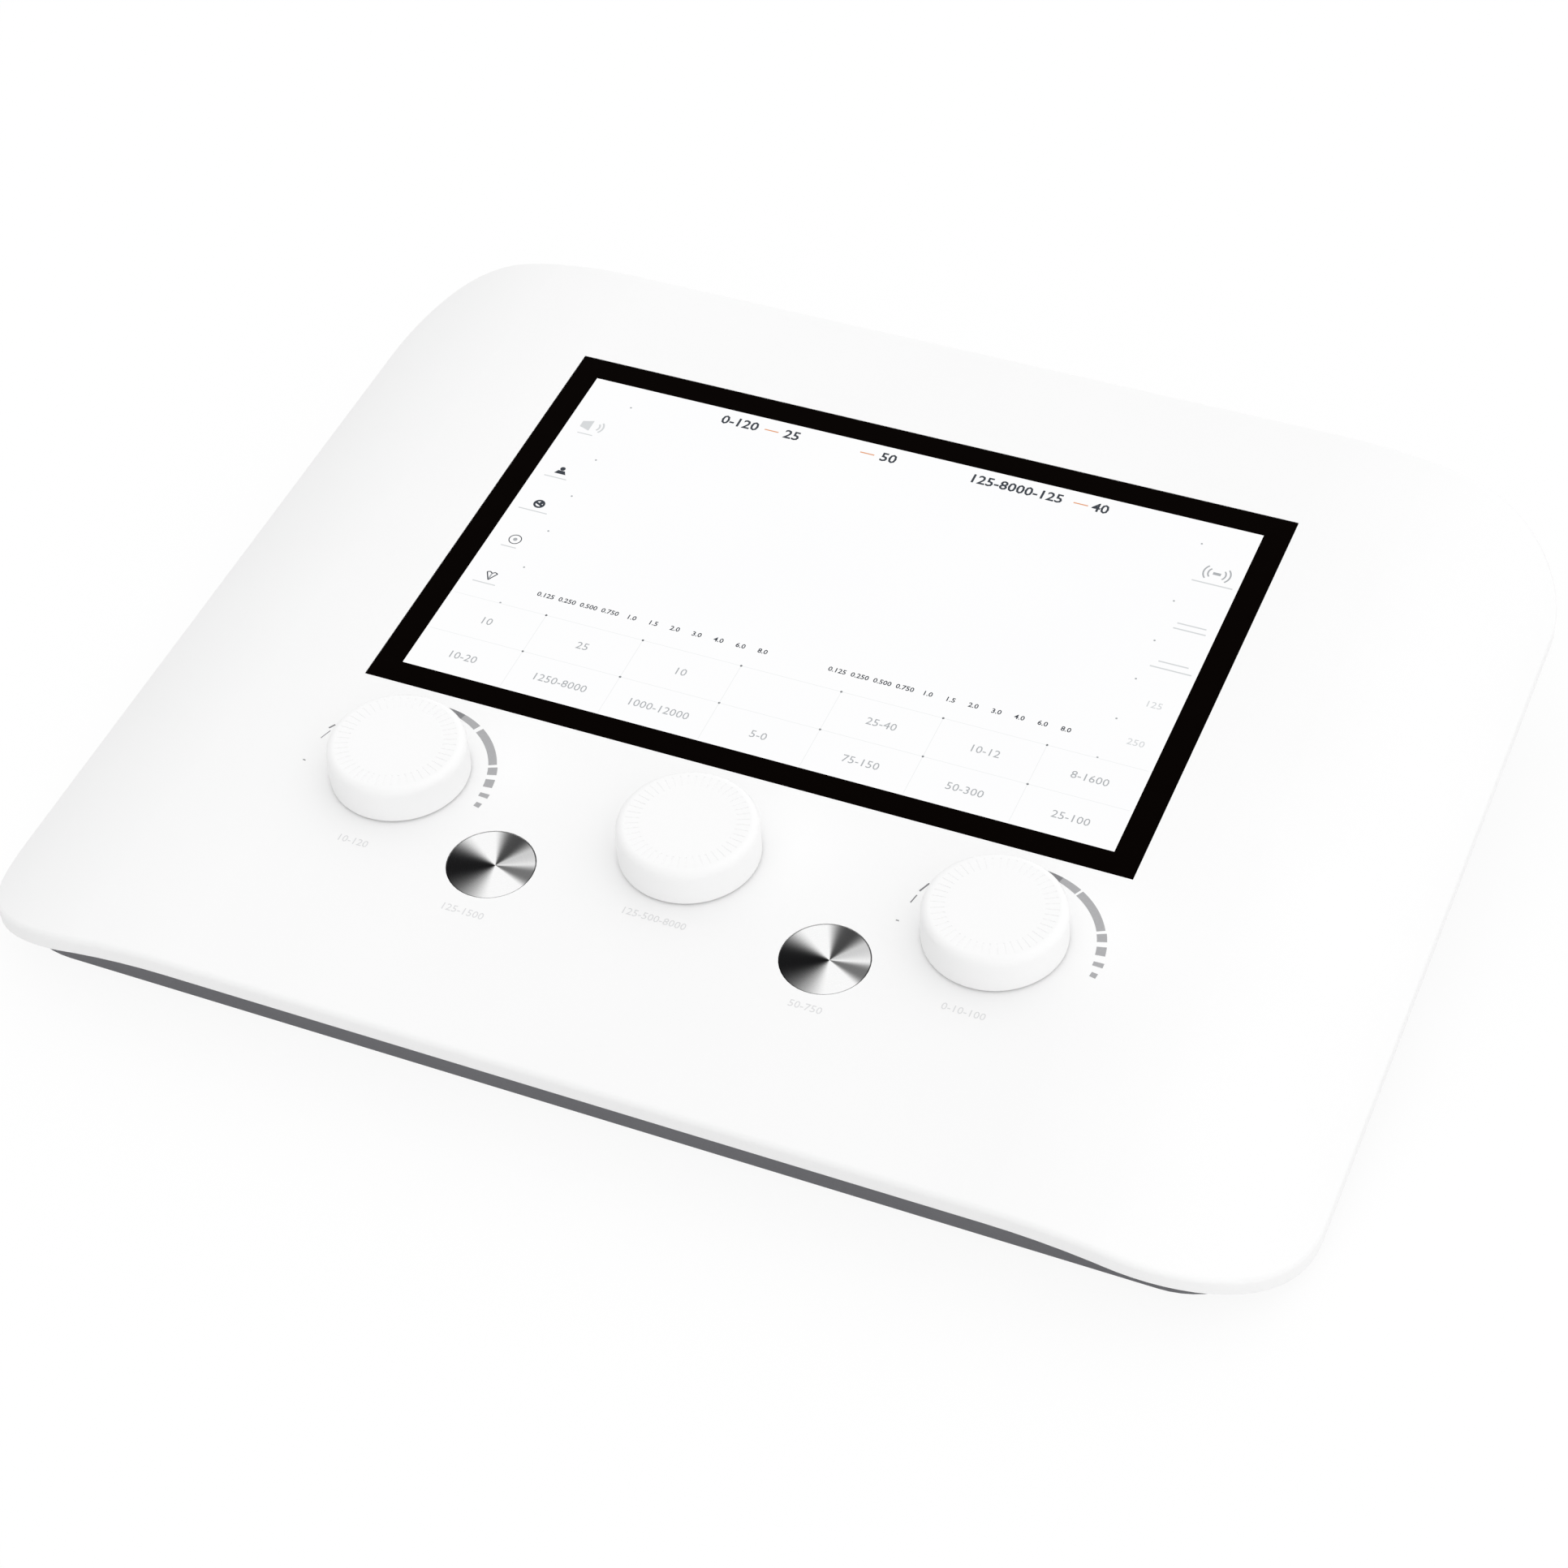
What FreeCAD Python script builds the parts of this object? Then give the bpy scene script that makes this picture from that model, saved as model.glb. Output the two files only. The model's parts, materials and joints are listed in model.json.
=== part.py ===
import FreeCAD, Part
import math
import os

# Desktop audiometer: a white arched housing on a narrower grey base, with a flush touch screen,
# three dials and two flush keys. All sizes are in millimetres.
#
# Two frames share one origin, the middle of the housing's front edge on the panel face.
# Panel frame: +X to the user's right, +Y along the panel away from the user, +Z out of the panel.
# Desk frame: the same, turned about X by the panel's tilt, so that +Z is straight up.
# The finished pieces are then moved so that the origin is the middle of the footprint, on the desk.

Vector = FreeCAD.Vector

# ---- Driving sizes: whole device ----
PANEL_TILT = 7.0            # degrees, the back of the panel is higher
FRONT_EDGE_HEIGHT = 30.5    # panel's front edge over the desk
SLIP = 0.05                 # radial clearance of a close fit
PLAY = 0.3                  # clearance between pieces that move past each other
SEAT = 0.2                  # clearance between pieces that only rest beside each other

# ---- Driving sizes: white cover ----
COVER_WIDTH = 387.0
COVER_DEPTH = 312.2
COVER_WALL = 2.8
FRONT_CORNER = 45.0         # corner radii seen square on to the panel
BACK_CORNER = 34.0
ROLL_WIDTH = 76.0           # width of the band that rolls down at each side
EASE_WIDTH = 28.0           # gentler first part of that band
EASE_RADIUS = 170.0
ROLL_RADIUS = 86.0          # the rest of it
RIM_HEIGHT = 6.0            # thick edge all round the cover
RIM_WIDTH = 3.0
RIM_TOP_FILLET = 1.6
RIM_BOTTOM_CHAMFER = 0.6

# ---- Driving sizes: grey base ----
BASE_SIDE_INSET = 9.0       # base wall inside the cover's side edges
BASE_FRONT_INSET = 16.0     # base wall behind the cover's front edge
BASE_BACK_INSET = 12.3      # base wall ahead of the cover's back edge
BASE_FRONT_CORNER = 25.0
BASE_BACK_CORNER = 30.0
BASE_WALL = 2.5
BACK_WALL = 4.0
BASE_EDGE_FILLET = 0.8
FOOT_HEIGHT = 3.0
FOOT_RADIUS = 8.0
FOOT_RECESS = 1.0
FOOT_INSET = 25.0
FOOT_EDGE_FILLET = 0.8
VENT_COUNT = 9
VENT_PITCH = 8.0
VENT_WIDTH = 2.4
VENT_LENGTH = 34.0

# ---- Driving sizes: screws and the bosses they go into ----
BOSS_WALL = 2.0
SCREW_HEAD_HEIGHT = 1.8
HOUSING_SCREW = 1.5         # shank radius of the screws between base and cover
SMALL_SCREW = 1.25          # shank radius of all the others
HEAD_EXTRA = 1.3            # head radius over shank radius
HOUSING_TUBE_HEIGHT = 7.0   # screw tubes on the base floor
HOUSING_SCREW_GRIP = 7.0    # screw length inside the cover's post
HOUSING_FRONT_SIDE = 48.0   # front pair of these screws in from the base's sides
HOUSING_MIDDLE_SIDE = 15.0
HOUSING_BACK_SIDE = 44.0
HOUSING_FRONT_INSET = 20.0  # front pair behind the base's front wall
HOUSING_BACK_INSET = 14.2   # back pair ahead of the base's back wall

# ---- Driving sizes: touch screen ----
SCREEN_WIDTH = 217.0        # lit area
SCREEN_DEPTH = 135.6
SCREEN_OFFSET = 37.3        # lit area's middle behind the cover's middle
GLASS_BORDER = 7.8
GLASS_THICKNESS = 1.8
GASKET_THICKNESS = 0.5
LCD_BORDER = 4.5
LCD_THICKNESS = 4.6
LCD_GAP = 0.4
SCREEN_FRAME_WALL = 3.2     # stiffening frame under the cover, round the opening
SCREEN_FRAME_HEIGHT = 2.0
BRACKET_THICKNESS = 1.0
BRACKET_FLANGE = 6.0
BRACKET_RIB = 22.0          # metal left beside the bracket's windows
BRACKET_BOSS_SPREAD = 52.0  # bracket screws ahead of and behind the screen's middle
BRACKET_SCREW_GRIP = 4.2

# ---- Driving sizes: dials and their encoders ----
KNOB_PITCH = 88.7
KNOB_LEAD = 39.6            # dial axes ahead of the screen's lit area
KNOB_RADIUS = 19.8
KNOB_HEIGHT = 12.0          # over the panel
KNOB_LIFT = 0.6             # gap under the dial's skirt
KNOB_ROUND = 2.5            # rounding of the dial's upper edge
KNOB_WALL = 2.0
KNOB_CAP = 3.4              # thickness of the dial's top over its hollow
KNOB_HUB_WALL = 2.6
GRIP_COUNT = 48             # small radial grooves in the dial's top
GRIP_DEPTH = 0.12
GRIP_WIDTH = 0.4
GRIP_LENGTH = 3.8
GRIP_MARGIN = 0.2           # from the grooves to the rounding
ENCODER_SIDE = 14.0
ENCODER_HEIGHT = 11.2
BUSH_RADIUS = 4.5
BUSH_HEIGHT = 3.8           # bush over the panel
BUSH_HOLE_GAP = 0.15
SHAFT_RADIUS = 3.0
SHAFT_FLAT = 0.8            # depth of the flat on the shaft
SHAFT_COLLAR = 1.3          # collar's reach past the shaft
SHAFT_COLLAR_HEIGHT = 1.5
SHAFT_TAIL_RADIUS = 1.5
SHAFT_TAIL_LENGTH = 2.5
BUSH_ROOF = 1.5             # encoder wall over the collar's chamber
WASHER_THICKNESS = 0.5
WASHER_REACH = 2.4
NUT_HEIGHT = 1.8
NUT_WALL = 1.4              # nut's wall across the flats

# ---- Driving sizes: keys ----
KEY_SPREAD = 49.3           # key axes from the middle
KEY_LEAD = 23.2             # key axes ahead of the dial axes
KEY_RADIUS = 12.2
KEY_TRAVEL = 1.5
KEY_CAP_THICKNESS = 2.0
KEY_CAP_CHAMFER = 0.15
KEY_STOP_GAP = 0.1          # plunger flange under the cover at rest
KEY_FLANGE_REACH = 2.2
KEY_FLANGE_THICKNESS = 1.6
KEY_STEM_RADIUS = 4.0
KEY_SLEEVE_DEPTH = 6.0
KEY_SLEEVE_WALL = 1.8
PAD_THICKNESS = 1.5
PAD_SPIGOT_RADIUS = 1.5
PAD_SPIGOT_LENGTH = 1.8
SPRING_RADIUS = 7.0
SPRING_WIRE = 0.7           # side of the square wire
SPRING_TURNS = 4.0

# ---- Driving sizes: boards ----
BOARD_THICKNESS = 1.6
CONTROL_BOARD_SIDE = 18.0   # board past the outer dial axes
CONTROL_BOARD_FRONT = 20.0  # board ahead of the key axes
CONTROL_BOARD_BACK = 16.0   # board behind the dial axes
CONTROL_BOSS_INSET = 6.0
CONTROL_SCREW_GRIP = 6.0
MAIN_BOARD_DEPTH = 112.0
MAIN_BOARD_GAP = 0.6        # between the board's edges and the back wall's inside and opening
MAIN_STANDOFF = 6.0
MAIN_BOSS_INSET = 7.0
MAIN_SCREW_GRIP = 4.5
SHIELD_SIDE = 42.0
SHIELD_HEIGHT = 5.0
SHIELD_WALL = 0.6
SHIELD_X = -35.0
CAPACITOR_RADIUS = 5.0
CAPACITOR_HEIGHT = 12.0
CAPACITOR_PITCH = 14.0
CAPACITOR_COUNT = 3
CAPACITOR_X = 35.0
RIBBON_THICKNESS = 0.3
RIBBON_WIDTH = 20.0
CONNECTOR_HEIGHT = 2.5
CONNECTOR_DEPTH = 5.0
CONNECTOR_WALL = 1.5
DISPLAY_RIBBON_X = 70.0
CONTROL_RIBBON_X = 0.0
RIBBON_DROP = 4.0

# ---- Driving sizes: rear panel and its sockets ----
REAR_PANEL_WIDTH = 252.0
REAR_PANEL_HEIGHT = 34.0
REAR_PANEL_THICKNESS = 1.5
REAR_PANEL_RISE = 5.5       # panel's lower edge over the base's underside
REAR_PANEL_LEDGE = 3.0
REAR_PANEL_EAR = 12.0       # solid end of the panel that holds its screws
REAR_SCREW_SPREAD = 11.0
REAR_SCREW_GRIP = 6.5
REAR_BOSS_END = 1.0         # solid end of the screw boss past the screw
JACK_GAP = 30.0             # first socket's axis past the USB port's
JACK_INSET = 34.0           # last socket's axis in from the other end of the opening
JACK_WIDTH = 13.0
JACK_HEIGHT = 13.0
JACK_LENGTH = 27.0
JACK_NOSE_RADIUS = 4.5
JACK_NOSE_LENGTH = 5.0
JACK_BORE = 3.25
JACK_BORE_DEPTH = 28.0
JACK_NUT_HEIGHT = 2.0
USB_GAP = 24.0              # port's axis past the power inlet's
USB_WIDTH = 12.0
USB_HEIGHT = 11.0
USB_LENGTH = 16.0
USB_MOUTH_WIDTH = 8.5
USB_MOUTH_HEIGHT = 7.8
USB_MOUTH_DEPTH = 9.0
USB_TONGUE_WIDTH = 5.6
USB_TONGUE_HEIGHT = 3.2
INLET_GAP = 26.0            # inlet's axis past the power switch's
INLET_WIDTH = 13.0
INLET_HEIGHT = 10.0
INLET_LENGTH = 15.5
INLET_MOUTH_WIDTH = 10.0
INLET_MOUTH_HEIGHT = 6.6
INLET_MOUTH_DEPTH = 9.5
INLET_PIN_SIDE = 1.2
INLET_PIN_PITCH = 4.2
SWITCH_INSET = 14.0         # switch's axis in from the end of the base's rear opening
SWITCH_WIDTH = 13.0
SWITCH_HEIGHT = 19.5
SWITCH_LENGTH = 15.0
SWITCH_FLANGE = 1.2
SWITCH_FLANGE_THICKNESS = 1.2
SWITCH_WALL = 1.2
ROCKER_ANGLE = 9.0          # degrees each side of the middle
ROCKER_THICKNESS = 3.2
ROCKER_PIN_RADIUS = 1.0
ROCKER_PIN_LENGTH = 0.8
ROCKER_PROUD = 1.2          # rocker's crown past the switch flange
ROCKER_END_GAP = 0.9        # room past the rocker's ends when it stands in the middle
ROCKER_HEEL = 1.0           # rocker material behind its pins

# ---- Driving sizes: monitor loudspeaker ----
SPEAKER_SIDE = 38.0         # loudspeaker's axis in from the base's left side
SPEAKER_FRONT = 94.0        # and behind the base's front wall
SPEAKER_RADIUS = 20.0
SPEAKER_RIM = 2.5
SPEAKER_RIM_HEIGHT = 3.0
SPEAKER_DEPTH = 11.0
SPEAKER_MAGNET = 10.0
SPEAKER_WALL = 1.0
SPEAKER_RING_WALL = 1.5
SPEAKER_CONE_WALL = 0.5
SPEAKER_SLOT_PITCH = 5.0
SPEAKER_SLOT_WIDTH = 2.0
SPEAKER_SLOT_EDGE = 3.5     # floor left between the slots and the speaker's rim

# ---- Worked-out heights in the panel frame ----
FAR = 400.0                 # longer than any piece, for cutting blocks
ROLL_REACH = 75.0           # degrees that the cutting surface rolls down, past the cover's edge
FLAT_HALF = COVER_WIDTH / 2 - ROLL_WIDTH
EASE_ANGLE = math.asin(EASE_WIDTH / EASE_RADIUS)
UNDERSIDE = -COVER_WALL
BOARD_TOP = UNDERSIDE - ENCODER_HEIGHT
BOARD_UNDERSIDE = BOARD_TOP - BOARD_THICKNESS
LEDGE = -(GLASS_THICKNESS + GASKET_THICKNESS)
LCD_BACK = -(GLASS_THICKNESS + LCD_THICKNESS)
SCREEN_MIDDLE = COVER_DEPTH / 2 + SCREEN_OFFSET
SCREEN_FRONT = SCREEN_MIDDLE - SCREEN_DEPTH / 2
KNOB_ROW = SCREEN_FRONT - KNOB_LEAD
KEY_ROW = KNOB_ROW - KEY_LEAD
GLASS_HALF_WIDTH = SCREEN_WIDTH / 2 + GLASS_BORDER
GLASS_HALF_DEPTH = SCREEN_DEPTH / 2 + GLASS_BORDER
LCD_HALF_WIDTH = SCREEN_WIDTH / 2 + LCD_BORDER
LCD_HALF_DEPTH = SCREEN_DEPTH / 2 + LCD_BORDER
SMALL_BOSS_RADIUS = SMALL_SCREW + BOSS_WALL
BRACKET_BOSS_X = LCD_HALF_WIDTH + LCD_GAP + SCREEN_FRAME_WALL / 2 + SMALL_BOSS_RADIUS

# ---- Worked-out places in the desk frame ----
BASE_WIDTH = COVER_WIDTH - 2 * BASE_SIDE_INSET
BASE_BOTTOM = FOOT_HEIGHT - FRONT_EDGE_HEIGHT
FLOOR = BASE_BOTTOM + BASE_WALL
TILT = math.radians(PANEL_TILT)
BASE_BACK = COVER_DEPTH * math.cos(TILT) + RIM_HEIGHT * math.sin(TILT) - BASE_BACK_INSET
MAIN_BOARD_BOTTOM = FLOOR + MAIN_STANDOFF
MAIN_BOARD_TOP = MAIN_BOARD_BOTTOM + BOARD_THICKNESS
REAR_PANEL_INSIDE = BASE_BACK - REAR_PANEL_THICKNESS
REAR_PANEL_BOTTOM = BASE_BOTTOM + REAR_PANEL_RISE
REAR_PANEL_MIDDLE = REAR_PANEL_BOTTOM + REAR_PANEL_HEIGHT / 2
REAR_OPENING_HALF = REAR_PANEL_WIDTH / 2 - REAR_PANEL_EAR
SWITCH_X = SWITCH_INSET - REAR_OPENING_HALF
INLET_X = SWITCH_X + INLET_GAP
USB_X = INLET_X + USB_GAP
JACK_START = USB_X + JACK_GAP
SPEAKER_X = SPEAKER_SIDE - BASE_WIDTH / 2
SPEAKER_Y = BASE_FRONT_INSET + SPEAKER_FRONT
MAIN_BOARD_HALF_WIDTH = REAR_OPENING_HALF - MAIN_BOARD_GAP
MAIN_BOARD_BACK = BASE_BACK - BACK_WALL - MAIN_BOARD_GAP
MAIN_BOARD_FRONT = MAIN_BOARD_BACK - MAIN_BOARD_DEPTH
JACK_AXIS_HEIGHT = MAIN_BOARD_TOP + JACK_HEIGHT / 2
HOUSING_TUBE_TOP = FLOOR + HOUSING_TUBE_HEIGHT
HOUSING_TUBE_RADIUS = HOUSING_SCREW + HEAD_EXTRA + BOSS_WALL
HOUSING_SCREW_SEAT = FLOOR + SCREW_HEAD_HEIGHT

KNOB_SPOTS = {"left": (-KNOB_PITCH, KNOB_ROW), "center": (0.0, KNOB_ROW), "right": (KNOB_PITCH, KNOB_ROW)}
KEY_SPOTS = {"left": (-KEY_SPREAD, KEY_ROW), "right": (KEY_SPREAD, KEY_ROW)}
JACK_NAMES = ("left_phone_jack", "right_phone_jack", "bone_jack", "response_jack", "microphone_jack")
JACK_PITCH = (REAR_OPENING_HALF - JACK_INSET - JACK_START) / (len(JACK_NAMES) - 1)
JACK_SPOTS = {name: JACK_START + index * JACK_PITCH for index, name in enumerate(JACK_NAMES)}


# ---- Solids that the pieces are made of ----

def box(x_range, y_range, z_range):
    """Block between the low and high values given for each axis."""
    size = [high - low for low, high in (x_range, y_range, z_range)]
    return Part.makeBox(size[0], size[1], size[2], Vector(x_range[0], y_range[0], z_range[0]))


def centred_box(x, y, half_width, half_depth, z_range):
    """Block round the vertical line through (x, y)."""
    return box((x - half_width, x + half_width), (y - half_depth, y + half_depth), z_range)


def upright(x, y, radius, z_low, z_high):
    """Cylinder along Z."""
    return Part.makeCylinder(radius, z_high - z_low, Vector(x, y, z_low))


def uprights(spots, radius, z_low, z_high):
    """One cylinder along Z at each (x, y) spot."""
    return [upright(x, y, radius, z_low, z_high) for x, y in spots]


def level(x, z, radius, y_low, y_high):
    """Cylinder along Y."""
    return Part.makeCylinder(radius, y_high - y_low, Vector(x, y_low, z), Vector(0, 1, 0))


def levels(spots, radius, y_low, y_high):
    """One cylinder along Y at each (x, z) spot."""
    return [level(x, z, radius, y_low, y_high) for x, z in spots]


def hexagon(radius_inside, height):
    """Hexagonal block on the XY plane, measured across its flats."""
    corner = radius_inside / math.cos(math.pi / 6)
    angles = [k * math.pi / 3 for k in range(7)]
    points = [Vector(corner * math.cos(angle), corner * math.sin(angle), 0) for angle in angles]
    return Part.Face(Part.makePolygon(points)).extrude(Vector(0, 0, height))


def turned(profile):
    """Solid of revolution about Z from (radius, height) points."""
    points = [Vector(radius, 0, height) for radius, height in profile]
    points.append(points[0])
    return Part.Face(Part.makePolygon(points)).revolve(Vector(0, 0, 0), Vector(0, 0, 1), 360)


def rounded_plate(half_width, y_front, y_back, front_radius, back_radius, z_range):
    """Upright block whose plan is a rectangle with round corners, centred on x = 0."""
    up = Vector(0, 0, 1)
    z_low, z_high = z_range
    corners = (
        (half_width - front_radius, y_front + front_radius, front_radius, 270),
        (half_width - back_radius, y_back - back_radius, back_radius, 0),
        (-half_width + back_radius, y_back - back_radius, back_radius, 90),
        (-half_width + front_radius, y_front + front_radius, front_radius, 180),
    )
    arcs = [Part.makeCircle(r, Vector(x, y, z_low), up, start, start + 90) for x, y, r, start in corners]
    edges = []
    for arc, following in zip(arcs, arcs[1:] + arcs[:1]):
        side_start = arc.valueAt(arc.LastParameter)
        side_end = following.valueAt(following.FirstParameter)
        edges.append(arc)
        edges.append(Part.makeLine(side_start, side_end))
    return Part.Face(Part.Wire(edges)).extrude(Vector(0, 0, z_high - z_low))


def joined(first, others):
    """One solid from pieces that overlap, without seams."""
    return first.fuse(list(others)).removeSplitter()


def group(solids):
    """Several separate solids kept in one node."""
    return Part.makeCompound(list(solids))


def panel_to_desk(shape):
    """Tilt something built in the panel frame into the desk frame."""
    return shape.rotated(Vector(0, 0, 0), Vector(1, 0, 0), PANEL_TILT)


def desk_to_panel(shape):
    """Turn something built in the desk frame into the panel frame."""
    return shape.rotated(Vector(0, 0, 0), Vector(1, 0, 0), -PANEL_TILT)


# ---- The panel's own surface ----

def roll_point(side, angle):
    """Point of the panel face at its right (1) or left (-1) side, where it slopes down by `angle`."""
    eased = min(angle, EASE_ANGLE)
    x = FLAT_HALF + EASE_RADIUS * math.sin(eased) + ROLL_RADIUS * (math.sin(angle) - math.sin(eased))
    z = EASE_RADIUS * (math.cos(eased) - 1) + ROLL_RADIUS * (math.cos(angle) - math.cos(eased))
    return Vector(side * x, -1.0, z)


def panel_height(x):
    """Height of the panel face at x, which drops away at both sides."""
    past_flat = max(0.0, abs(x) - FLAT_HALF)
    past_ease = max(0.0, past_flat - EASE_WIDTH)
    slope = min(past_flat, EASE_WIDTH) / EASE_RADIUS + past_ease / ROLL_RADIUS
    return roll_point(1, math.asin(slope)).z


def space_below_panel(depth):
    """Everything that lies more than `depth` below the panel face, in the panel frame."""
    reach = math.radians(ROLL_REACH)
    floor = -FAR / 2

    def roll(side, start, end):
        points = [roll_point(side, angle) for angle in (start, (start + end) / 2, end)]
        return Part.Arc(points[0], points[1], points[2]).toShape()

    right_end = roll_point(1, reach)
    left_end = roll_point(-1, reach)
    right_foot = Vector(right_end.x, -1.0, floor)
    left_foot = Vector(left_end.x, -1.0, floor)
    edges = [
        Part.makeLine(roll_point(-1, 0), roll_point(1, 0)),
        roll(1, 0, EASE_ANGLE),
        roll(1, EASE_ANGLE, reach),
        Part.makeLine(right_end, right_foot),
        Part.makeLine(right_foot, left_foot),
        Part.makeLine(left_foot, left_end),
        roll(-1, EASE_ANGLE, reach),
        roll(-1, 0, EASE_ANGLE),
    ]
    outline = Part.Wire(Part.__sortEdges__(edges))
    block = Part.Face(outline).extrude(Vector(0, COVER_DEPTH + 2.0, 0))
    return block.translated(Vector(0, 0, -depth))


def rim_edges(solid, depth):
    """Outer edges of the rim that lie `depth` below the panel face."""
    found = []
    for edge in solid.Edges:
        middle = edge.valueAt((edge.FirstParameter + edge.LastParameter) / 2)
        level_with_face = abs(middle.z - panel_height(middle.x) + depth) < 0.01
        away_from_ends = RIM_WIDTH < middle.y < COVER_DEPTH - RIM_WIDTH
        places = (FLAT_HALF, FLAT_HALF + EASE_WIDTH)
        seam = away_from_ends and any(abs(abs(middle.x) - place) < 0.01 for place in places)
        if level_with_face and not seam:
            found.append(edge)
    return found


# ---- Screws ----

def screw(x, y, seat, tip, shank, downward_head):
    """Pan-head screw along Z whose head sits on the height `seat`."""
    head_radius = shank + HEAD_EXTRA
    direction = -1 if downward_head else 1
    head_end = seat + direction * SCREW_HEAD_HEIGHT
    head = upright(x, y, head_radius, min(seat, head_end), max(seat, head_end))
    slot = centred_box(x, y, head_radius * 0.7, 0.4, (head_end - 0.7, head_end + 0.7))
    body = upright(x, y, shank, min(seat, tip), max(seat, tip))
    return joined(head.cut(slot), [body])


def housing_boss_spots():
    """Six places on the desk plane where base and cover are screwed together."""
    front = BASE_FRONT_INSET + HOUSING_FRONT_INSET
    back = BASE_BACK - HOUSING_BACK_INSET
    pairs = (
        (BASE_WIDTH / 2 - HOUSING_FRONT_SIDE, front),
        (BASE_WIDTH / 2 - HOUSING_MIDDLE_SIDE, (front + back) / 2),
        (BASE_WIDTH / 2 - HOUSING_BACK_SIDE, back),
    )
    return [(side * x, y) for x, y in pairs for side in (-1, 1)]


def control_boss_spots():
    """Five places on the panel where the control board is screwed to the cover."""
    x = KNOB_PITCH + CONTROL_BOARD_SIDE - CONTROL_BOSS_INSET
    front = KEY_ROW - CONTROL_BOARD_FRONT + CONTROL_BOSS_INSET
    back = KNOB_ROW + CONTROL_BOARD_BACK - CONTROL_BOSS_INSET
    return [(-x, front), (0.0, front), (x, front), (-x, back), (x, back)]


def bracket_boss_spots():
    """Four places on the panel where the display bracket is screwed to the cover."""
    rows = (SCREEN_MIDDLE - BRACKET_BOSS_SPREAD, SCREEN_MIDDLE + BRACKET_BOSS_SPREAD)
    return [(side * BRACKET_BOSS_X, y) for y in rows for side in (-1, 1)]


def main_boss_spots():
    """Four places on the base floor where the main board is screwed down."""
    x = MAIN_BOARD_HALF_WIDTH - MAIN_BOSS_INSET
    rows = (MAIN_BOARD_FRONT + MAIN_BOSS_INSET, MAIN_BOARD_BACK - MAIN_BOSS_INSET)
    return [(side * x, y) for y in rows for side in (-1, 1)]


def rear_screw_spots():
    """Four (x, z) places on the rear panel."""
    x = REAR_PANEL_WIDTH / 2 - REAR_PANEL_EAR / 2
    rows = (REAR_PANEL_MIDDLE - REAR_SCREW_SPREAD, REAR_PANEL_MIDDLE + REAR_SCREW_SPREAD)
    return [(side * x, z) for z in rows for side in (-1, 1)]


def foot_spots():
    """Places of the feet, by name."""
    x = BASE_WIDTH / 2 - FOOT_INSET
    front = BASE_FRONT_INSET + FOOT_INSET
    back = BASE_BACK - FOOT_INSET
    return {
        "front_left_foot": (-x, front),
        "front_right_foot": (x, front),
        "rear_left_foot": (-x, back),
        "rear_right_foot": (x, back),
    }


# ---- Housing ----

def cover_shell():
    """Arched sheet with a thicker rim and softened edges, before its openings."""
    outline = rounded_plate(COVER_WIDTH / 2, 0, COVER_DEPTH, FRONT_CORNER, BACK_CORNER, (-FAR / 4, 1.0))
    shell = outline.common(space_below_panel(0)).cut(space_below_panel(RIM_HEIGHT))
    shell = shell.makeFillet(RIM_TOP_FILLET, rim_edges(shell, 0))
    shell = shell.makeChamfer(RIM_BOTTOM_CHAMFER, rim_edges(shell, RIM_HEIGHT))
    inner = rounded_plate(
        COVER_WIDTH / 2 - RIM_WIDTH,
        RIM_WIDTH,
        COVER_DEPTH - RIM_WIDTH,
        FRONT_CORNER - RIM_WIDTH,
        BACK_CORNER - RIM_WIDTH,
        (-FAR / 4, 1.0),
    )
    return shell.cut(inner.common(space_below_panel(COVER_WALL)))


def housing_posts():
    """Posts under the cover that stand on the base's screw tubes, in the panel frame."""
    under_skin = space_below_panel(COVER_WALL / 2)
    posts = uprights(housing_boss_spots(), HOUSING_SCREW + BOSS_WALL, HOUSING_TUBE_TOP, FAR / 4)
    return [desk_to_panel(post).common(under_skin) for post in posts]


def screen_opening():
    """Space behind the glass that the display stands in."""
    return centred_box(0, SCREEN_MIDDLE, LCD_HALF_WIDTH + LCD_GAP, LCD_HALF_DEPTH + LCD_GAP, (-FAR / 4, 1.0))


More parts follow.
